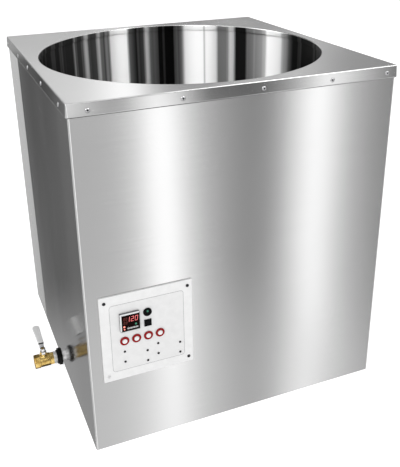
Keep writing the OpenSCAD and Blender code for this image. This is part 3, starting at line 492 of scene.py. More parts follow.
def round_edges(obj, width=0, segments=3):
    """Rounds the sharp edges, if a width is given, and keeps flat faces flat in the shading."""
    if width:
        bevel = obj.modifiers.new("rounding", "BEVEL")
        bevel.width = width
        bevel.segments = segments
        bevel.limit_method = "ANGLE"
        bevel.angle_limit = math.radians(30)
        bevel.miter_outer = "MITER_ARC"
    normals = obj.modifiers.new("normals", "WEIGHTED_NORMAL")
    normals.keep_sharp = True
    normals.weight = 90
    return obj


def set_normals(obj, rule):
    """Gives each corner the normal that the rule makes from its point and its face's normal."""
    mesh = obj.data
    normals = [rule(mesh.vertices[mesh.loops[k].vertex_index].co, face.normal)
               for face in mesh.polygons for k in face.loop_indices]
    mesh.normals_split_custom_set(normals)


def bake(obj):
    """Applies all modifiers."""
    graph = bpy.context.evaluated_depsgraph_get()
    mesh = bpy.data.meshes.new_from_object(obj.evaluated_get(graph))
    obj.modifiers.clear()
    obj.data = mesh


def cut(obj, bm):
    """Cuts the closed shapes in bm out of obj."""
    tool = object_from("tool", bm)
    step = obj.modifiers.new("cut", "BOOLEAN")
    step.operation = "DIFFERENCE"
    step.solver = "EXACT"
    step.object = tool
    bake(obj)
    bpy.data.objects.remove(tool)


def plate(name, outline, holes, low, high, edge, matrix, *materials, round_back=False):
    """Flat plate with holes, from local z low to high, its upper edges rounded."""
    depth = high - low if round_back else high - low + edge
    curve = bpy.data.curves.new(name, "CURVE")
    curve.dimensions = "2D"
    curve.fill_mode = "BOTH"
    for points in [outline] + holes:
        spline = curve.splines.new("POLY")
        spline.points.add(len(points) - 1)
        for point, (x, y) in zip(spline.points, points):
            point.co = (x / MM, y / MM, 0, 1)
        spline.use_cyclic_u = True
    curve.extrude = (depth / 2 - edge) / MM
    curve.bevel_depth = edge / MM
    curve.bevel_resolution = 2
    curve.offset = -edge / MM
    flat = bpy.data.objects.new(name, curve)
    bpy.context.scene.collection.objects.link(flat)
    graph = bpy.context.evaluated_depsgraph_get()
    mesh = bpy.data.meshes.new_from_object(flat.evaluated_get(graph))
    mesh.transform(Matrix.Translation((0, 0, high - depth / 2)) @ Matrix.Scale(MM, 4))
    for vertex in mesh.vertices:
        vertex.co.z = max(vertex.co.z, low)
    mesh.transform(matrix)
    bm = bmesh.new()
    bm.from_mesh(mesh)
    bpy.data.objects.remove(flat)
    bpy.data.meshes.remove(mesh)
    obj = object_from(name, bm, *materials)
    return round_edges(obj)


def stand_for(obj, slot, body, *cad_nodes):
    """Ties a piece to its body and hides the CAD nodes that it replaces; its slot is not used."""
    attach(obj, body)
    if cad_nodes:
        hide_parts(*cad_nodes)
    return obj


def softened(node, width, slot, body="root", material=None):
    """A CAD node's own shape with rounded edges, which stands for the node."""
    bm = bmesh.new()
    bm.from_mesh(nodes[node].data)
    bmesh.ops.remove_doubles(bm, verts=bm.verts, dist=1e-6)
    bmesh.ops.dissolve_limit(bm, angle_limit=math.radians(0.5), verts=bm.verts, edges=bm.edges)
    obj = object_from(node + "_part", bm, material or slot)
    attribute = obj.data.attributes.get("custom_normal")
    if attribute:
        obj.data.attributes.remove(attribute)
    round_edges(obj, width, segments=2)
    stand_for(obj, slot, body, node)


# Casing

def top_stations(flat, segments, steps):
    """Directions round the opening, each with its place on the flat square and its way out there."""
    stations = []
    for k in range(segments):
        turn = 2 * math.pi * k / segments
        c, s = math.cos(turn), math.sin(turn)
        widest = max(abs(c), abs(s))
        base = Vector((flat / widest * c, flat / widest * s))
        if abs(abs(c) - abs(s)) < WELD:
            first = round(math.degrees(turn) / 90 - 0.5) * 90
            ways = [first + 90 * j / steps for j in range(steps + 1)]
        else:
            ways = [round(math.degrees(turn) / 90) * 90]
        for way in map(math.radians, ways):
            stations.append((c, s, base, Vector((math.cos(way), math.sin(way)))))
    return stations


def top_plate():
    """Flat top with a turned-down flange outside and a collar round the opening."""
    flat = HALF_W - TOP_BEND
    flange_low = TOP_LOW.z
    collar_low = TOP_Z - COLLAR_H
    bend_z = TOP_Z - TOP_BEND
    inner_r = TOP_BEND - PLATE
    steps = 8
    bend_r = OPENING_R + TOP_BEND
    collar_out = arc(bend_r, bend_z, TOP_BEND, 180, 90, steps)
    collar_in = arc(bend_r, bend_z, inner_r, 90, 180, steps)
    flange_out = arc(0, bend_z, TOP_BEND, 90, 0, steps)
    flange_in = arc(0, bend_z, inner_r, 0, 90, steps)
    flare = math.tan(FLARE) * (bend_z - flange_low)
    hem_r = PLATE + HEM_GAP
    hem_at = (TOP_BEND + flare - hem_r, flange_low + hem_r)
    hem_out = arc(*hem_at, hem_r, 0, -80, 6)
    hem_in = arc(*hem_at, hem_r - PLATE, -80, 0, 2)
    lap = 1 * MM

    bm = bmesh.new()
    loops = []
    for c, s, base, out in top_stations(flat, 256, steps):
        loop = [(OPENING_R * c, OPENING_R * s, collar_low)]
        loop += [(r * c, r * s, z) for r, z in collar_out]
        loop.append(((bend_r + lap) * c, (bend_r + lap) * s, TOP_Z))
        shrunk = base * (1 - lap / flat)
        loop.append((shrunk.x, shrunk.y, TOP_Z))
        loop += [(*(base + out * e), z) for e, z in flange_out + hem_out + hem_in + flange_in]
        loop += [(r * c, r * s, z) for r, z in collar_in]
        loop.append(((OPENING_R + PLATE) * c, (OPENING_R + PLATE) * s, collar_low))
        loops.append([bm.verts.new(p) for p in loop])
    for a, b in zip(loops, loops[1:] + loops[:1]):
        for j in range(len(a)):
            m = (j + 1) % len(a)
            bm.faces.new([a[j], a[m], b[m], b[j]])
    bmesh.ops.remove_doubles(bm, verts=bm.verts, dist=WELD)
    bmesh.ops.dissolve_degenerate(bm, dist=WELD, edges=bm.edges)
    obj = object_from("top_plate_sheet", bm, "top_steel", "flange_steel", "tank_steel")
    for face in obj.data.polygons:
        if abs(face.normal.z) < 0.3:
            inside = face.center.xy.length < OPENING_R + PLATE / 2
            face.material_index = 2 if inside else 1
    round_edges(obj)
    stand_for(obj, "brushed_steel", "root", "top_plate")


# The left side's shading leans as on a slightly bent sheet: (place from front to back, turn of its shading to
# the front)
SIDE_TILTS = [(0.238, math.radians(-1.6)), (0.226, math.radians(1.0)), (-0.2, math.radians(1.0)),
              (-0.3, math.radians(1.2))]

# What the casing's cutout leaves of the panel's width and height, and how deep a cut reaches
PANEL_REST_W = 38 * MM
PANEL_REST_H = 44 * MM
CUT = 10 * MM


def wrap_plan(offset, r):
    """Outline of the bent sheet from its right return to its left one, moved inwards by offset."""
    x, y0, y1 = WRAP_HIGH.x - offset, WRAP_LOW.y + offset, WRAP_HIGH.y - offset
    left = [(RETURN_W - WRAP_HIGH.x, y1)]
    left += arc(-x + r, y1 - r, r, 90, 180, 10)
    left += [(-x, place) for place, _ in SIDE_TILTS]
    left += arc(-x + r, y0 + r, r, 180, 270, 10)
    return left + [(-px, py) for px, py in left[::-1]]


def on_left_side(point, normal):
    """Whether a face is on the outside of the left side."""
    return normal.x < -0.99 and point.x < SIDE_X + 0.1 * MM


def wrap_normal(point, face_normal):
    """Shading normal: round at the bends, tilted on the left side, the face's own elsewhere."""
    if on_left_side(point, face_normal):
        tilt = min(SIDE_TILTS, key=lambda entry: abs(entry[0] - point.y))[1]
        return Vector((-math.cos(tilt), -math.sin(tilt), 0))
    x = min(max(point.x, -WRAP_HIGH.x + BEND), WRAP_HIGH.x - BEND)
    y = min(max(point.y, WRAP_LOW.y + BEND), WRAP_HIGH.y - BEND)
    out = Vector((point.x - x, point.y - y, 0)).normalized()
    along = out.dot(face_normal)
    return out * (1 if along > 0 else -1) if abs(along) > 0.9 else face_normal


def casing_sheet():
    """Sheet bent round the left, front and right sides, with returns at the back."""
    bm = bmesh.new()
    add_prism(bm, wrap_plan(0, BEND) + wrap_plan(SHEET, BEND - SHEET)[::-1], 0, WRAP_HIGH.z)
    obj = object_from("casing_sheet", bm, "brushed_steel", "left_steel")
    holes = bmesh.new()
    w, h = PANEL_SIZE.x - PANEL_REST_W, PANEL_SIZE.z - PANEL_REST_H
    add_prism(holes, box_outline(-w / 2, -h / 2, w / 2, h / 2), -CUT, CUT,
              on_front(PANEL_AT.x, PANEL_AT.z, WRAP_LOW.y))
    pipe_r = size("spacer_sleeve").y / 2 - 1 * MM
    add_prism(holes, polygon_outline(pipe_r, 48), -CUT, CUT, on_drain(SIDE_X))
    cut(obj, holes)
    for face in obj.data.polygons:
        if on_left_side(face.center, face.normal):
            face.material_index = 1
    set_normals(obj, wrap_normal)
    stand_for(obj, "brushed_steel", "root", "casing_wrap")


def vessel():
    """Round pot with a floor, hung from its rim."""
    ri = OPENING_R + PLATE + FIT
    ro = ri + PLATE
    rim = POT_HIGH.x
    floor_z = POT_LOW.z + PLATE
    corner = VESSEL_FLOOR_R
    bend_z = TOP_Z - BEND
    bend = PLATE - FIT
    profile = [(0, floor_z)]
    profile += arc(ri - corner, floor_z + corner, corner, -90, 0, 12)
    profile += [(ri, bend_z)]
    profile += arc(ri + bend, bend_z, bend, 180, 90, 4)
    profile += [(rim, bend_z + bend), (rim, bend_z), (ro, bend_z)]
    profile += arc(ri - corner, floor_z + corner, corner + PLATE, 0, -90, 12)
    profile += [(0, floor_z - PLATE)]
    bm = bmesh.new()
    add_lathe(bm, profile, segments=256)
    obj = object_from("vessel_pot", bm, "tank_steel")
    hole = bmesh.new()
    stub = centre("drain_stub")
    add_prism(hole, polygon_outline(size("drain_stub").x / 2, 48), -CUT, CUT,
              Matrix.Translation((stub.x, stub.y, floor_z)))
    cut(obj, hole)
    round_edges(obj)
    stand_for(obj, "tank_steel", "root", "vessel")


# Where the rivets sit along the flange, as shares of its width from its middle
FRONT_RIVETS = [-0.445, -0.187, 0.053, 0.274, 0.464]
SIDE_RIVETS = [-0.416, -0.176, 0.047, 0.234, 0.465]
RIVET_DROP = 2 * MM
RIVET_HOLLOW_R = 1.9


def rivets():
    """Blind rivets: a domed head round its hollow, a shank and a bulb behind the sheets, and a black plug in
    each hollow as painted shade.
    """
    profile = [(0, -3), (RIVET_HOLLOW_R, -3), (2.0, 1.4), (2.3, 1.8), (2.9, 1.9), (3.6, 1.7), (4.8, 1.1),
               (5.3, 0.7), (5.5, 0.3), (5.5, 0), (2.4, 0), (2.4, -3.8), (3.3, -4.0), (3.4, -7.2),
               (3.0, -7.8), (0, -7.8)]
    # Black plug in each rivet's hollow: painted shade in the recess
    hollow_shade = [(0, 1.1), (RIVET_HOLLOW_R, 1.1), (RIVET_HOLLOW_R, -2)]
    z = (TOP_LOW.z + TOP_Z) / 2 - RIVET_DROP
    reach = HALF_W + math.tan(FLARE) * (TOP_Z - TOP_BEND - z)
    lean = Matrix.Rotation(math.pi / 2 - FLARE, 4, "X")
    bm = bmesh.new()
    hollow_shades = bmesh.new()
    for turn, shares, way in [(0, FRONT_RIVETS, 1), (180, FRONT_RIVETS, -1),
                              (90, SIDE_RIVETS, 1), (270, SIDE_RIVETS, -1)]:
        spin = Matrix.Rotation(math.radians(turn), 4, "Z")
        for share in shares:
            place = spin @ Matrix.Translation((way * share * 2 * HALF_W, -reach, z)) @ lean
            add_lathe(bm, in_mm(profile), place, 32)
            add_lathe(hollow_shades, in_mm(hollow_shade), place, 32)
    obj = object_from("rivets", bm, "rivet_steel")
    round_edges(obj)
    # The black plugs paint the shade in the rivets' hollows
    stand_for(object_from("rivet_hollow_shades", hollow_shades, "black_case"), "bright_steel", "root")
    stand_for(obj, "bright_steel", "root", "top_rivets")


def screws(name, places, head_r, head_h, shank_l, slot, node, second=None):
    """Pan-head screws with a cross recess, heads standing on local z = 0."""
    shank_r = head_r / 2
    profile = [(0, head_h), (0.35 * head_r, head_h)]
    profile += [(head_r * (0.72 + 0.28 * math.sin(a)), head_h * (0.35 + 0.65 * math.cos(a)))
                for a in [math.radians(15 * k) for k in range(1, 7)]]
    profile += [(head_r, 0), (shank_r, 0), (shank_r, -shank_l), (0, -shank_l)]
    bm = bmesh.new()
    recess = bmesh.new()
    arm, half_w = 0.55 * head_r, 0.11 * head_r
    cross = [(arm, half_w), (half_w, half_w), (half_w, arm)]
    cross += [(-x, y) for x, y in cross[::-1]]
    cross += [(-x, -y) for x, y in cross]
    turned = Matrix.Rotation(math.radians(20), 4, "Z")
    for place in places:
        add_lathe(bm, profile, place, 32)
        add_prism(recess, cross, 0.35 * head_h, 2 * head_h, place @ turned)
    obj = object_from(name, bm, slot, *([second] if second else []))
    cut(obj, recess)
    round_edges(obj)
    return stand_for(obj, slot, "root", node)


def back_screws():
    """Two upright rows of screws in the back panel."""
    head_r = 4 * MM
    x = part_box("back_screws")[1].x - head_r
    spin = Matrix.Rotation(-math.pi / 2, 4, "X")
    places = [Matrix.Translation((side * x, WRAP_HIGH.y, share * TOP_Z)) @ spin
              for side in (-1, 1) for share in (0.14, 0.38, 0.62, 0.86)]
    screws("back_screw_heads", places, head_r, 2 * MM, 8 * MM, "bright_steel", "back_screws")


# Drain and valve

def cast(node, slot, voxel):
    """A cast CAD node with soft fillets: its own shape, skinned and smoothed."""
    bm = bmesh.new()
    bm.from_mesh(nodes[node].data)
    obj = object_from(node + "_casting", bm, slot)
    skin = obj.modifiers.new("skin", "REMESH")
    skin.mode = "VOXEL"
    skin.voxel_size = voxel
    skin.use_smooth_shade = True
    soft = obj.modifiers.new("soft", "SMOOTH")
    soft.factor = 0.5
    soft.iterations = 5
    bake(obj)
    stand_for(obj, slot, "root", node)


def lever_sleeve():
    """Soft dipped sleeve, wider towards its round end, with a dark band at its root."""
    low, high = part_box("lever_sleeve")
    middle = centre("lever_sleeve")
    wide, long, thick = high - low
    root_w = 15.5 * MM
    edge = 2.6 * MM
    outline = [(root_w / 2, 0)] + arc(0, long - wide / 2, wide / 2, 0, 180, 16) + [(-root_w / 2, 0)]
    place = Matrix.Translation((middle.x, low.y, middle.z))
    obj = plate("sleeve_grip", outline, [], -thick / 2, thick / 2, edge, place, "pale_sleeve",
                round_back=True)
    stand_for(obj, "pale_sleeve", "valve_handle", "lever_sleeve")
    band_w, band_l, band_t = size("valve_lever").x + 0.8 * MM, 3 * MM, 5.2 * MM
    band_y = low.y - 1.2 * MM
    bm = bmesh.new()
    add_prism(bm, rounded_outline(band_w, band_l, 0.8 * MM, 3), -band_t / 2, band_t / 2,
              Matrix.Translation((middle.x, band_y, middle.z)))
    band = object_from("sleeve_band", bm, "black_case")
    round_edges(band, 0.3 * MM)
    stand_for(band, "pale_sleeve", "valve_handle")


# Control panel

def moved(outline, spot):
    """An outline in metres, moved to a spot in millimetres."""
    return [(x + spot[0] * MM, y + spot[1] * MM) for x, y in outline]


def cutouts():
    """Openings for the controller, the two switches and the four buttons."""
    housing = size("controller_clamp").x / 2 - 4.2 * MM
    square = 8.0 * MM
    holes = [moved(box_outline(-housing, -housing, housing, housing), CONTROLLER_XY),
             moved(polygon_outline(9.9 * MM, 48), ROUND_XY),
             moved(box_outline(-square, -square, square, square), SQUARE_XY)]
    return holes + [moved(polygon_outline(9.05 * MM, 48), spot) for spot in BUTTONS_XY]


def control_panel():
    """White plate with the cutouts of everything that passes it."""
    w, thick, h = PANEL_SIZE
    obj = plate("panel_plate", rounded_outline(w, h, 3 * MM), cutouts(), -OVERLAY_T - thick, -OVERLAY_T,
                1.4 * MM, on_panel(), "panel_white")
    stand_for(obj, "panel_white", "root", "control_panel")


def panel_overlay():
    """Thin covering sheet with a grey border line along its edge, which paints the shade of the raised edge.
    """
    w, _, h = size("panel_overlay")
    corner_r = 8 * MM
    line_w = 0.8 * MM
    outer = rounded_outline(w, h, corner_r)
    inner = rounded_outline(w - 2 * line_w, h - 2 * line_w, corner_r - line_w)
    sheet = plate("overlay_sheet", outer, cutouts(), -OVERLAY_T, 0, 0.12 * MM, on_panel(), "overlay_white")
    stand_for(sheet, "overlay_white", "root", "panel_overlay")
    # Grey ring along the sheet's edge: painted shade of its raised edge
    line = plate("overlay_border", outer, [inner], 0, 0.05 * MM, 0.02 * MM, on_panel(), "overlay_line")
    stand_for(line, "overlay_white", "root")


def panel_screws():
    """Dark corner screws, of which the lower left one is pale, and the small module screws."""
    inset_x, inset_z = 12.5, 15.5
    x, z = PANEL_SIZE.x / MM / 2 - inset_x, PANEL_SIZE.z / MM / 2 - inset_z
    places = [on_panel((sx * x, sz * z), FACE_Y + OVERLAY_T) for sx in (-1, 1) for sz in (-1, 1)]
    obj = screws("panel_corner_screws", places, 4 * MM, 1.6 * MM, 10 * MM, "dark_screw",
                 "panel_screws", "pale_screw")
    for face in obj.data.polygons:
        if face.center.x < PANEL_AT.x and face.center.z < PANEL_AT.z:
            face.material_index = 1
    places = [on_panel((mx + sx, mz + sz)) for mx, mz in MODULES_XY for sx, sz in MODULE_SCREWS_XY]
    screws("module_screw_heads", places, 3 * MM, 1.2 * MM, 9 * MM, "dark_screw", "module_screw_set")


def controller():
    """Square instrument: a bezel that is pale on top and at the left; its side walls are painted dark grey,
    and its strips at the right and the bottom black, as painted shade.
    """
    place = on_panel(CONTROLLER_XY)
    bezel_h = 6 * MM
    case_w = 44.6 * MM
    case_depth = 74 * MM
    window_right, window_low = 22 * MM, -22 * MM
    window = box_outline(-20 * MM, window_low, window_right, 19.5 * MM)
    outline = rounded_outline(CONTROLLER_W, CONTROLLER_W, 1.2 * MM, 4)
    bezel = plate("controller_bezel", outline, [window], 0, bezel_h, 0.6 * MM, place,
                  "bezel_grey", "bezel_side", "black_case")
    # Painted shade: the side walls get dark grey, and the face's strips by the window's right and lower edges
    # get black
    rim = 0.5 * MM
    for face in bezel.data.polygons:
        spot = place.inverted() @ face.center
        if face.normal.y > -0.5:
            face.material_index = 1
        elif spot.x > window_right - rim or spot.y < window_low + rim:
            face.material_index = 2
    stand_for(bezel, "bezel_grey", "root")
    bm = bmesh.new()
    add_prism(bm, rounded_outline(case_w, case_w, 1 * MM, 3), -case_depth, bezel_h / 2, place)
    case = object_from("controller_case", bm, "black_case")
    round_edges(case, 0.4 * MM)
    stand_for(case, "black_case", "root", "controller_body")


# Digits: their lean to the right, and how far lit parts stand out of the window's face
SLANT = 0.12
LIT_T = 0.08 * MM
WINDOW_Z = 5.72 * MM


def segment(bm, place, x, y, w, h):
    """One straight bar of a digit, from its lower left corner, leaning with its height."""
    top = y + h
    outline = [(x + y * SLANT, y), (x + w + y * SLANT, y), (x + w + top * SLANT, top), (x + top * SLANT, top)]
    add_prism(bm, in_mm(outline), 0, LIT_T, place)


def digit(bm, place, number, w, h, bar):
    """Seven-bar digit with its lower left corner at the place's origin."""
    bars = {"top": (0, h - bar, w, bar), "middle": (0, (h - bar) / 2, w, bar), "bottom": (0, 0, w, bar),
            "upper_left": (0, h / 2, bar, h / 2), "lower_left": (0, 0, bar, h / 2),
            "upper_right": (w - bar, h / 2, bar, h / 2), "lower_right": (w - bar, 0, bar, h / 2)}
    lit = {0: ("top", "bottom", "upper_left", "lower_left", "upper_right", "lower_right"),
           1: ("upper_right", "lower_right"),
           2: ("top", "upper_right", "middle", "lower_left", "bottom"),
           8: tuple(bars)}[number]
    for name in lit:
        segment(bm, place, *bars[name])


def display():
    """Lit numbers and lamps on the window's face, placed from the controller's middle."""
    def at(x, y):
        return on_panel(CONTROLLER_XY) @ Matrix.Translation((x * MM, y * MM, WINDOW_Z))

    def lit_piece(name, bm, material):
        stand_for(object_from(name, bm, material), "display_window", "root")

    large = bmesh.new()
    for number, left in ((1, -8.4), (2, 2.0), (0, 11.6)):
        digit(large, at(left, 0.8), number, 6.8, 13.2, 1.15)
    lit_piece("display_digits", large, "digit_red")
    small = bmesh.new()
    for row in (-4.5, 5.5):
        for left in (-16, -10.6):
            digit(small, at(left, row), 8, 3.6, 7.6, 0.8)
    lit_piece("display_dim_digits", small, "digit_dim")
    green = bmesh.new()
    add_prism(green, polygon_outline(2.7 * MM, 32), 0, LIT_T, at(14.1, -8.4))
    lit_piece("display_green_lamp", green, "lamp_green")
    red = bmesh.new()
    for w, h, spot in ((4.2, 4.2, (-14.3, -10.9)), (3.4, 3.0, (-14.0, -17.8))):
        add_prism(red, rounded_outline(w * MM, h * MM, 1 * MM), 0, LIT_T, at(*spot))
    lit_piece("display_red_lamps", red, "lamp_red")


def buttons():
    """Red rings with their barrels, and a domed white cap in each."""
    ring = [(6.3, -13), (6.3, 2.2), (6.6, 2.6), (7.4, 2.9), (9.0, 3.0), (10.2, 2.9), (10.9, 2.5),
            (11.2, 1.8), (11.25, 0), (9.0, 0), (9.0, -22), (7.8, -22), (7.8, -13)]
    cap = [(0, 4.2), (3.5, 4.15), (4.9, 3.95), (5.7, 3.5), (6.0, 2.8), (6.1, 2.0), (6.1, -9), (0, -9)]
    bm = bmesh.new()
    for k, spot in enumerate(BUTTONS_XY, 1):
        add_lathe(bm, in_mm(ring), on_panel(spot), 48, closed=True)
        dome = bmesh.new()
        add_lathe(dome, in_mm(cap), on_panel(spot), 48)
        obj = object_from(f"cap_{k}_dome", dome, "cap_white")
        round_edges(obj)
        stand_for(obj, "cap_white", f"cap_{k}", f"button_cap_{k}")
    obj = object_from("ring_set", bm, "ring_red")
    round_edges(obj)
    stand_for(obj, "ring_red", "root", "button_rings")


# All pieces; a softened one is given as (node, width of its edges in millimetres, slot, body)

SOFTENED = [
    ("side_locknut", 0.9, "black_nut", "root"), ("valve_end", 0.7, "valve_brass", "root"),
    ("gland_nut", 0.6, "bright_steel", "root"), ("lever_nut", 0.6, "bright_steel", "valve_handle"),
    ("valve_lever", 0.4, "bright_steel", "valve_handle"), ("round_switch", 0.35, "switch_black", "root"),
    ("square_switch", 0.4, "switch_black", "root"),
    ("round_rocker", 0.3, "switch_black", "round_paddle"),
    ("square_rocker", 0.3, "switch_black", "square_paddle"),
    ("round_lens", 0.4, "green_lens", "round_paddle"), ("cord_gland", 0.5, "black_case", "root"),
]
SOFTENED += [(f"key_{k}", 0.4, "key_grey", f"key_{k}") for k in range(1, 5)]

top_plate()
casing_sheet()
vessel()
rivets()
back_screws()
for node, width, slot, body in SOFTENED:
    softened(node, width * MM, slot, body)
for node, width in (("spacer_sleeve", 0.4), ("drain_pipe", 0.5)):
    softened(node, width * MM, "bright_steel", material="satin_steel")
cast("valve_body", "valve_brass", 0.55 * MM)
lever_sleeve()
control_panel()
panel_overlay()
panel_screws()
controller()
display()
buttons()

# Materials of the CAD nodes that stay

slot_of = {row["node"]: row["material_slot"] for row in frame["record"]["subparts"]}
for name, node in nodes.items():
    node.data.materials.clear()
    node.data.materials.append(MATERIALS[slot_of[name]])


# Stage, light and camera

# The studio's grey levels, as (degrees from the front towards the right, level)
# Below the horizon: mirrored by the sides, by their lower parts and by the flange
LOW_LEVELS = [(0, 1.6), (5, 1.6), (8.5, 0.6), (11, 0.58), (15, 0.62), (17, 0.98), (18.7, 1.75),
              (19.8, 1.65), (21.6, 0.84), (24, 0.52), (26.6, 0.32), (28.2, 0.32), (30, 0.52),
              (32, 1.75), (33.1, 1.75), (35, 0.74), (37, 0.44), (39, 0.3), (181, 0.8), (182, 0.6),
              (186, 0.6), (187.4, 0.13), (190, 0.12), (191.2, 0.05), (192.2, 0), (193, 0.3),
              (195, 0.15), (200, 0), (340, 0.9), (347, 1.7)]
DEEP_LEVELS = [(0, 1.5), (5, 1.5), (9, 0.7), (14, 0.78), (17, 1.0), (19.4, 1.55), (22, 0.85),
               (27, 0.5), (29.5, 0.55), (32.6, 1.6), (34.5, 0.9), (39, 0.5), (186, 0.5),
               (187.8, 0.42), (191, 0.36), (200, 0.2), (340, 0.9), (347, 1.5)]
FLANGE_LEVELS = [(0, 1.2), (11.6, 0.95), (13.6, 0.45), (16, 0.55), (17.6, 1.5), (19, 1.3),
                 (20.6, 0.7), (22.6, 0.2), (26.6, 0.15), (28.4, 0.3), (30.3, 0.6), (32.6, 1.5),
                 (33.8, 1.1), (35.6, 0.65), (37.4, 0.3), (39, 0.2), (181, 0.4), (187, 0.45),
                 (189, 0.35), (191, 0.3), (200, 0.4), (340, 0.9), (347, 1.7), (357, 1.3)]
# Above it: mirrored by the back of the top plate, by its front and by the vessel
BACK_LEVELS = [(0, 0.4), (90, 0.4), (136, 0.25), (145, 0.4), (147, 0.7), (151, 0.3), (156, 0.4),
               (161, 0.2), (166, 0.25), (172, 0.4)]
MID_LEVELS = [(0, 0.5), (40, 0.8), (90, 0.5), (136, 0.3), (142, 0.36), (146, 0.42), (149, 0.75),
              (154, 0.66), (158, 0.4), (161, 0.5), (163.5, 2), (167, 1.15), (173, 0.95),
              (185, 0.8), (220, 0.6), (270, 0.8), (310, 0.6), (360, 0.5)]
HIGH_LEVELS = [(0, 0.1), (7, 0.2), (8.5, 4), (11, 4), (13, 0.2), (27.5, 0.2), (29, 6), (44, 6),
               (47, 1), (53, 2), (60, 1.4), (100, 1.2), (137, 0.5), (145, 0.1), (150, 0.8),
               (160, 0.8), (170, 0.1), (222, 0.1), (226, 1.6), (231, 5), (234, 6), (257, 6),
               (260, 1.4), (278, 1), (288, 0.2), (289.5, 6), (295, 6), (297, 0.2), (304, 0.5),
               (306, 6), (335, 6), (338, 0.1)]
# Where even bands take the place of the levels below the horizon, as (degrees, share)
BAND_SHARES = [(0, 0), (39, 0), (46, 1), (176, 1), (181, 0), (199, 0), (205, 1), (335, 1), (341, 0)]
BAND_COUNT = 8
BAND_LIGHT = 1.1
BAND_DARK = 0.38

# Sines of the elevations between which one part of the studio gives way to the next
FLOOR_EDGE = (-0.8, -0.9)
DEEP_EDGE = (-0.49, -0.6)
FLANGE_EDGE = (-0.19, -0.17)
HORIZON = (-0.03, 0.06)
BACK_EDGE = (0.15, 0.24)
MID_EDGE = (0.29, 0.4)
CEILING_EDGE = (0.72, 0.86)

# Even levels of the floor, of the ceiling, of what paint sees and of the page behind the tank
FLOOR_LEVEL = 0.02
CEILING_LEVEL = 0.9
PAINT_LEVEL = 0.5
PAGE_LEVEL = 1.0
# Share of the light that steel loses when it is mirrored in steel again
LATER_LOSS = 0.7


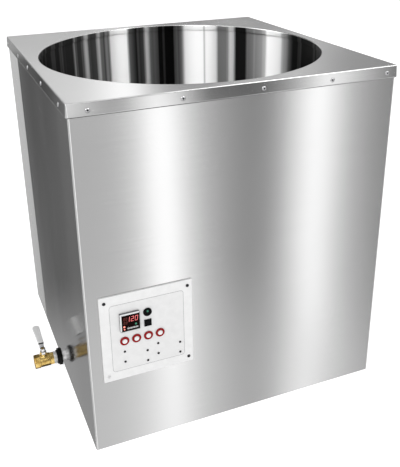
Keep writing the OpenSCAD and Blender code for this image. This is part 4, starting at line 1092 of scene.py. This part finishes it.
def studio_world():
    """Soft boxes and dark flags all round, as grey levels over the compass, which the steel mirrors."""
    world = bpy.data.worlds.new("studio")
    bpy.context.scene.world = world
    world.use_nodes = True
    tree = world.node_tree
    link = tree.links.new
    coords = tree.nodes.new("ShaderNodeTexCoord")
    split = tree.nodes.new("ShaderNodeSeparateXYZ")
    link(coords.outputs["Generated"], split.inputs[0])

    def calc(operation, *values):
        return math_node(tree, operation, *values)

    def blend(factor, a, b):
        """From a to b while the factor goes from 0 to 1."""
        return calc("ADD", calc("MULTIPLY", a, calc("SUBTRACT", 1.0, factor)),
                    calc("MULTIPLY", b, factor))

    def rise(low, high):
        """From 0 to 1 while the sine of the elevation goes from low to high."""
        node = tree.nodes.new("ShaderNodeMapRange")
        node.interpolation_type = "SMOOTHSTEP"
        node.inputs["From Min"].default_value = low
        node.inputs["From Max"].default_value = high
        link(split.outputs["Z"], node.inputs["Value"])
        return node.outputs["Result"]

    turn = calc("ARCTAN2", split.outputs["X"], calc("MULTIPLY", split.outputs["Y"], -1.0))
    share = calc("FRACT", calc("ADD", calc("DIVIDE", turn, 2 * math.pi), 1.0))
    low, deep, flange, back, mid, high, elsewhere = [
        grey_ramp(tree, share, stops, 360) for stops in
        (LOW_LEVELS, DEEP_LEVELS, FLANGE_LEVELS, BACK_LEVELS, MID_LEVELS, HIGH_LEVELS, BAND_SHARES)]

    wave = calc("ADD", calc("MULTIPLY", calc("SINE", calc("MULTIPLY", turn, BAND_COUNT)), 0.5), 0.5)
    bands = calc("ADD", calc("MULTIPLY", calc("POWER", wave, 3), BAND_LIGHT), BAND_DARK)
    sides = blend(rise(*FLANGE_EDGE), blend(rise(*DEEP_EDGE), low, deep), flange)
    lower = blend(rise(*FLOOR_EDGE), blend(elsewhere, sides, bands), FLOOR_LEVEL)
    overhead = blend(rise(*CEILING_EDGE), high, CEILING_LEVEL)
    upper = blend(rise(*MID_EDGE), blend(rise(*BACK_EDGE), back, mid), overhead)
    studio = blend(rise(*HORIZON), lower, upper)

    paths = tree.nodes.new("ShaderNodeLightPath")
    later = calc("GREATER_THAN", paths.outputs["Ray Depth"], 2.5)
    dimmed = calc("MULTIPLY", studio, calc("SUBTRACT", 1.0, calc("MULTIPLY", later, LATER_LOSS)))
    painted = blend(paths.outputs["Is Diffuse Ray"], dimmed, PAINT_LEVEL)
    seen = blend(paths.outputs["Is Camera Ray"], painted, PAGE_LEVEL)
    link(seen, tree.nodes["Background"].inputs["Color"])
    world.cycles.sampling_method = "NONE"


LIGHT_TARGET = Vector((0, 0, 0.3))
LIGHT_SIZE = 3.0


def soft_light(name, place, power):
    """Large lamp for the floor and the painted parts, which the steel doesn't mirror."""
    data = bpy.data.lights.new(name, "AREA")
    data.shape = "SQUARE"
    data.size = LIGHT_SIZE
    data.energy = power
    obj = bpy.data.objects.new(name, data)
    bpy.context.scene.collection.objects.link(obj)
    obj.location = place
    obj.rotation_mode = "QUATERNION"
    obj.rotation_quaternion = (LIGHT_TARGET - Vector(place)).to_track_quat("-Z", "Y")
    obj.visible_glossy = False
    obj.visible_camera = False


def pale_floor():
    """White floor just below the tank, which the steel doesn't mirror."""
    radius, low, high = 30, -0.02, -0.3 * MM
    bm = bmesh.new()
    add_prism(bm, polygon_outline(radius, 96), low, high)
    floor = object_from("floor", bm, "floor_white")
    floor.visible_glossy = False


def photo_camera():
    """Camera worked out from the corners of the casing in the photo."""
    image_h = 467
    focal_px = 686.1
    data = bpy.data.cameras.new("camera")
    data.sensor_width = 36
    data.lens = focal_px / image_h * data.sensor_width
    data.shift_x = 0.001
    data.shift_y = -0.1146
    data.clip_end = 100
    obj = bpy.data.objects.new("camera", data)
    bpy.context.scene.collection.objects.link(obj)
    forward = Vector((0.35164, 0.85504, -0.38112)).normalized()
    right = Vector((0.92281, -0.38505, -0.01243)).normalized()
    up = right.cross(forward)
    turn = Matrix((right, up, -forward)).transposed()
    obj.matrix_world = Matrix.Translation((-0.6544, -1.7124, 1.2602)) @ turn.to_4x4()
    bpy.context.scene.camera = obj


studio_world()
pale_floor()
photo_camera()
soft_light("key", place=(-1.5, -3.0, 3.5), power=86)
soft_light("fill", place=(2.5, 2.0, 3.5), power=20)
bpy.context.scene.view_settings.view_transform = "Standard"
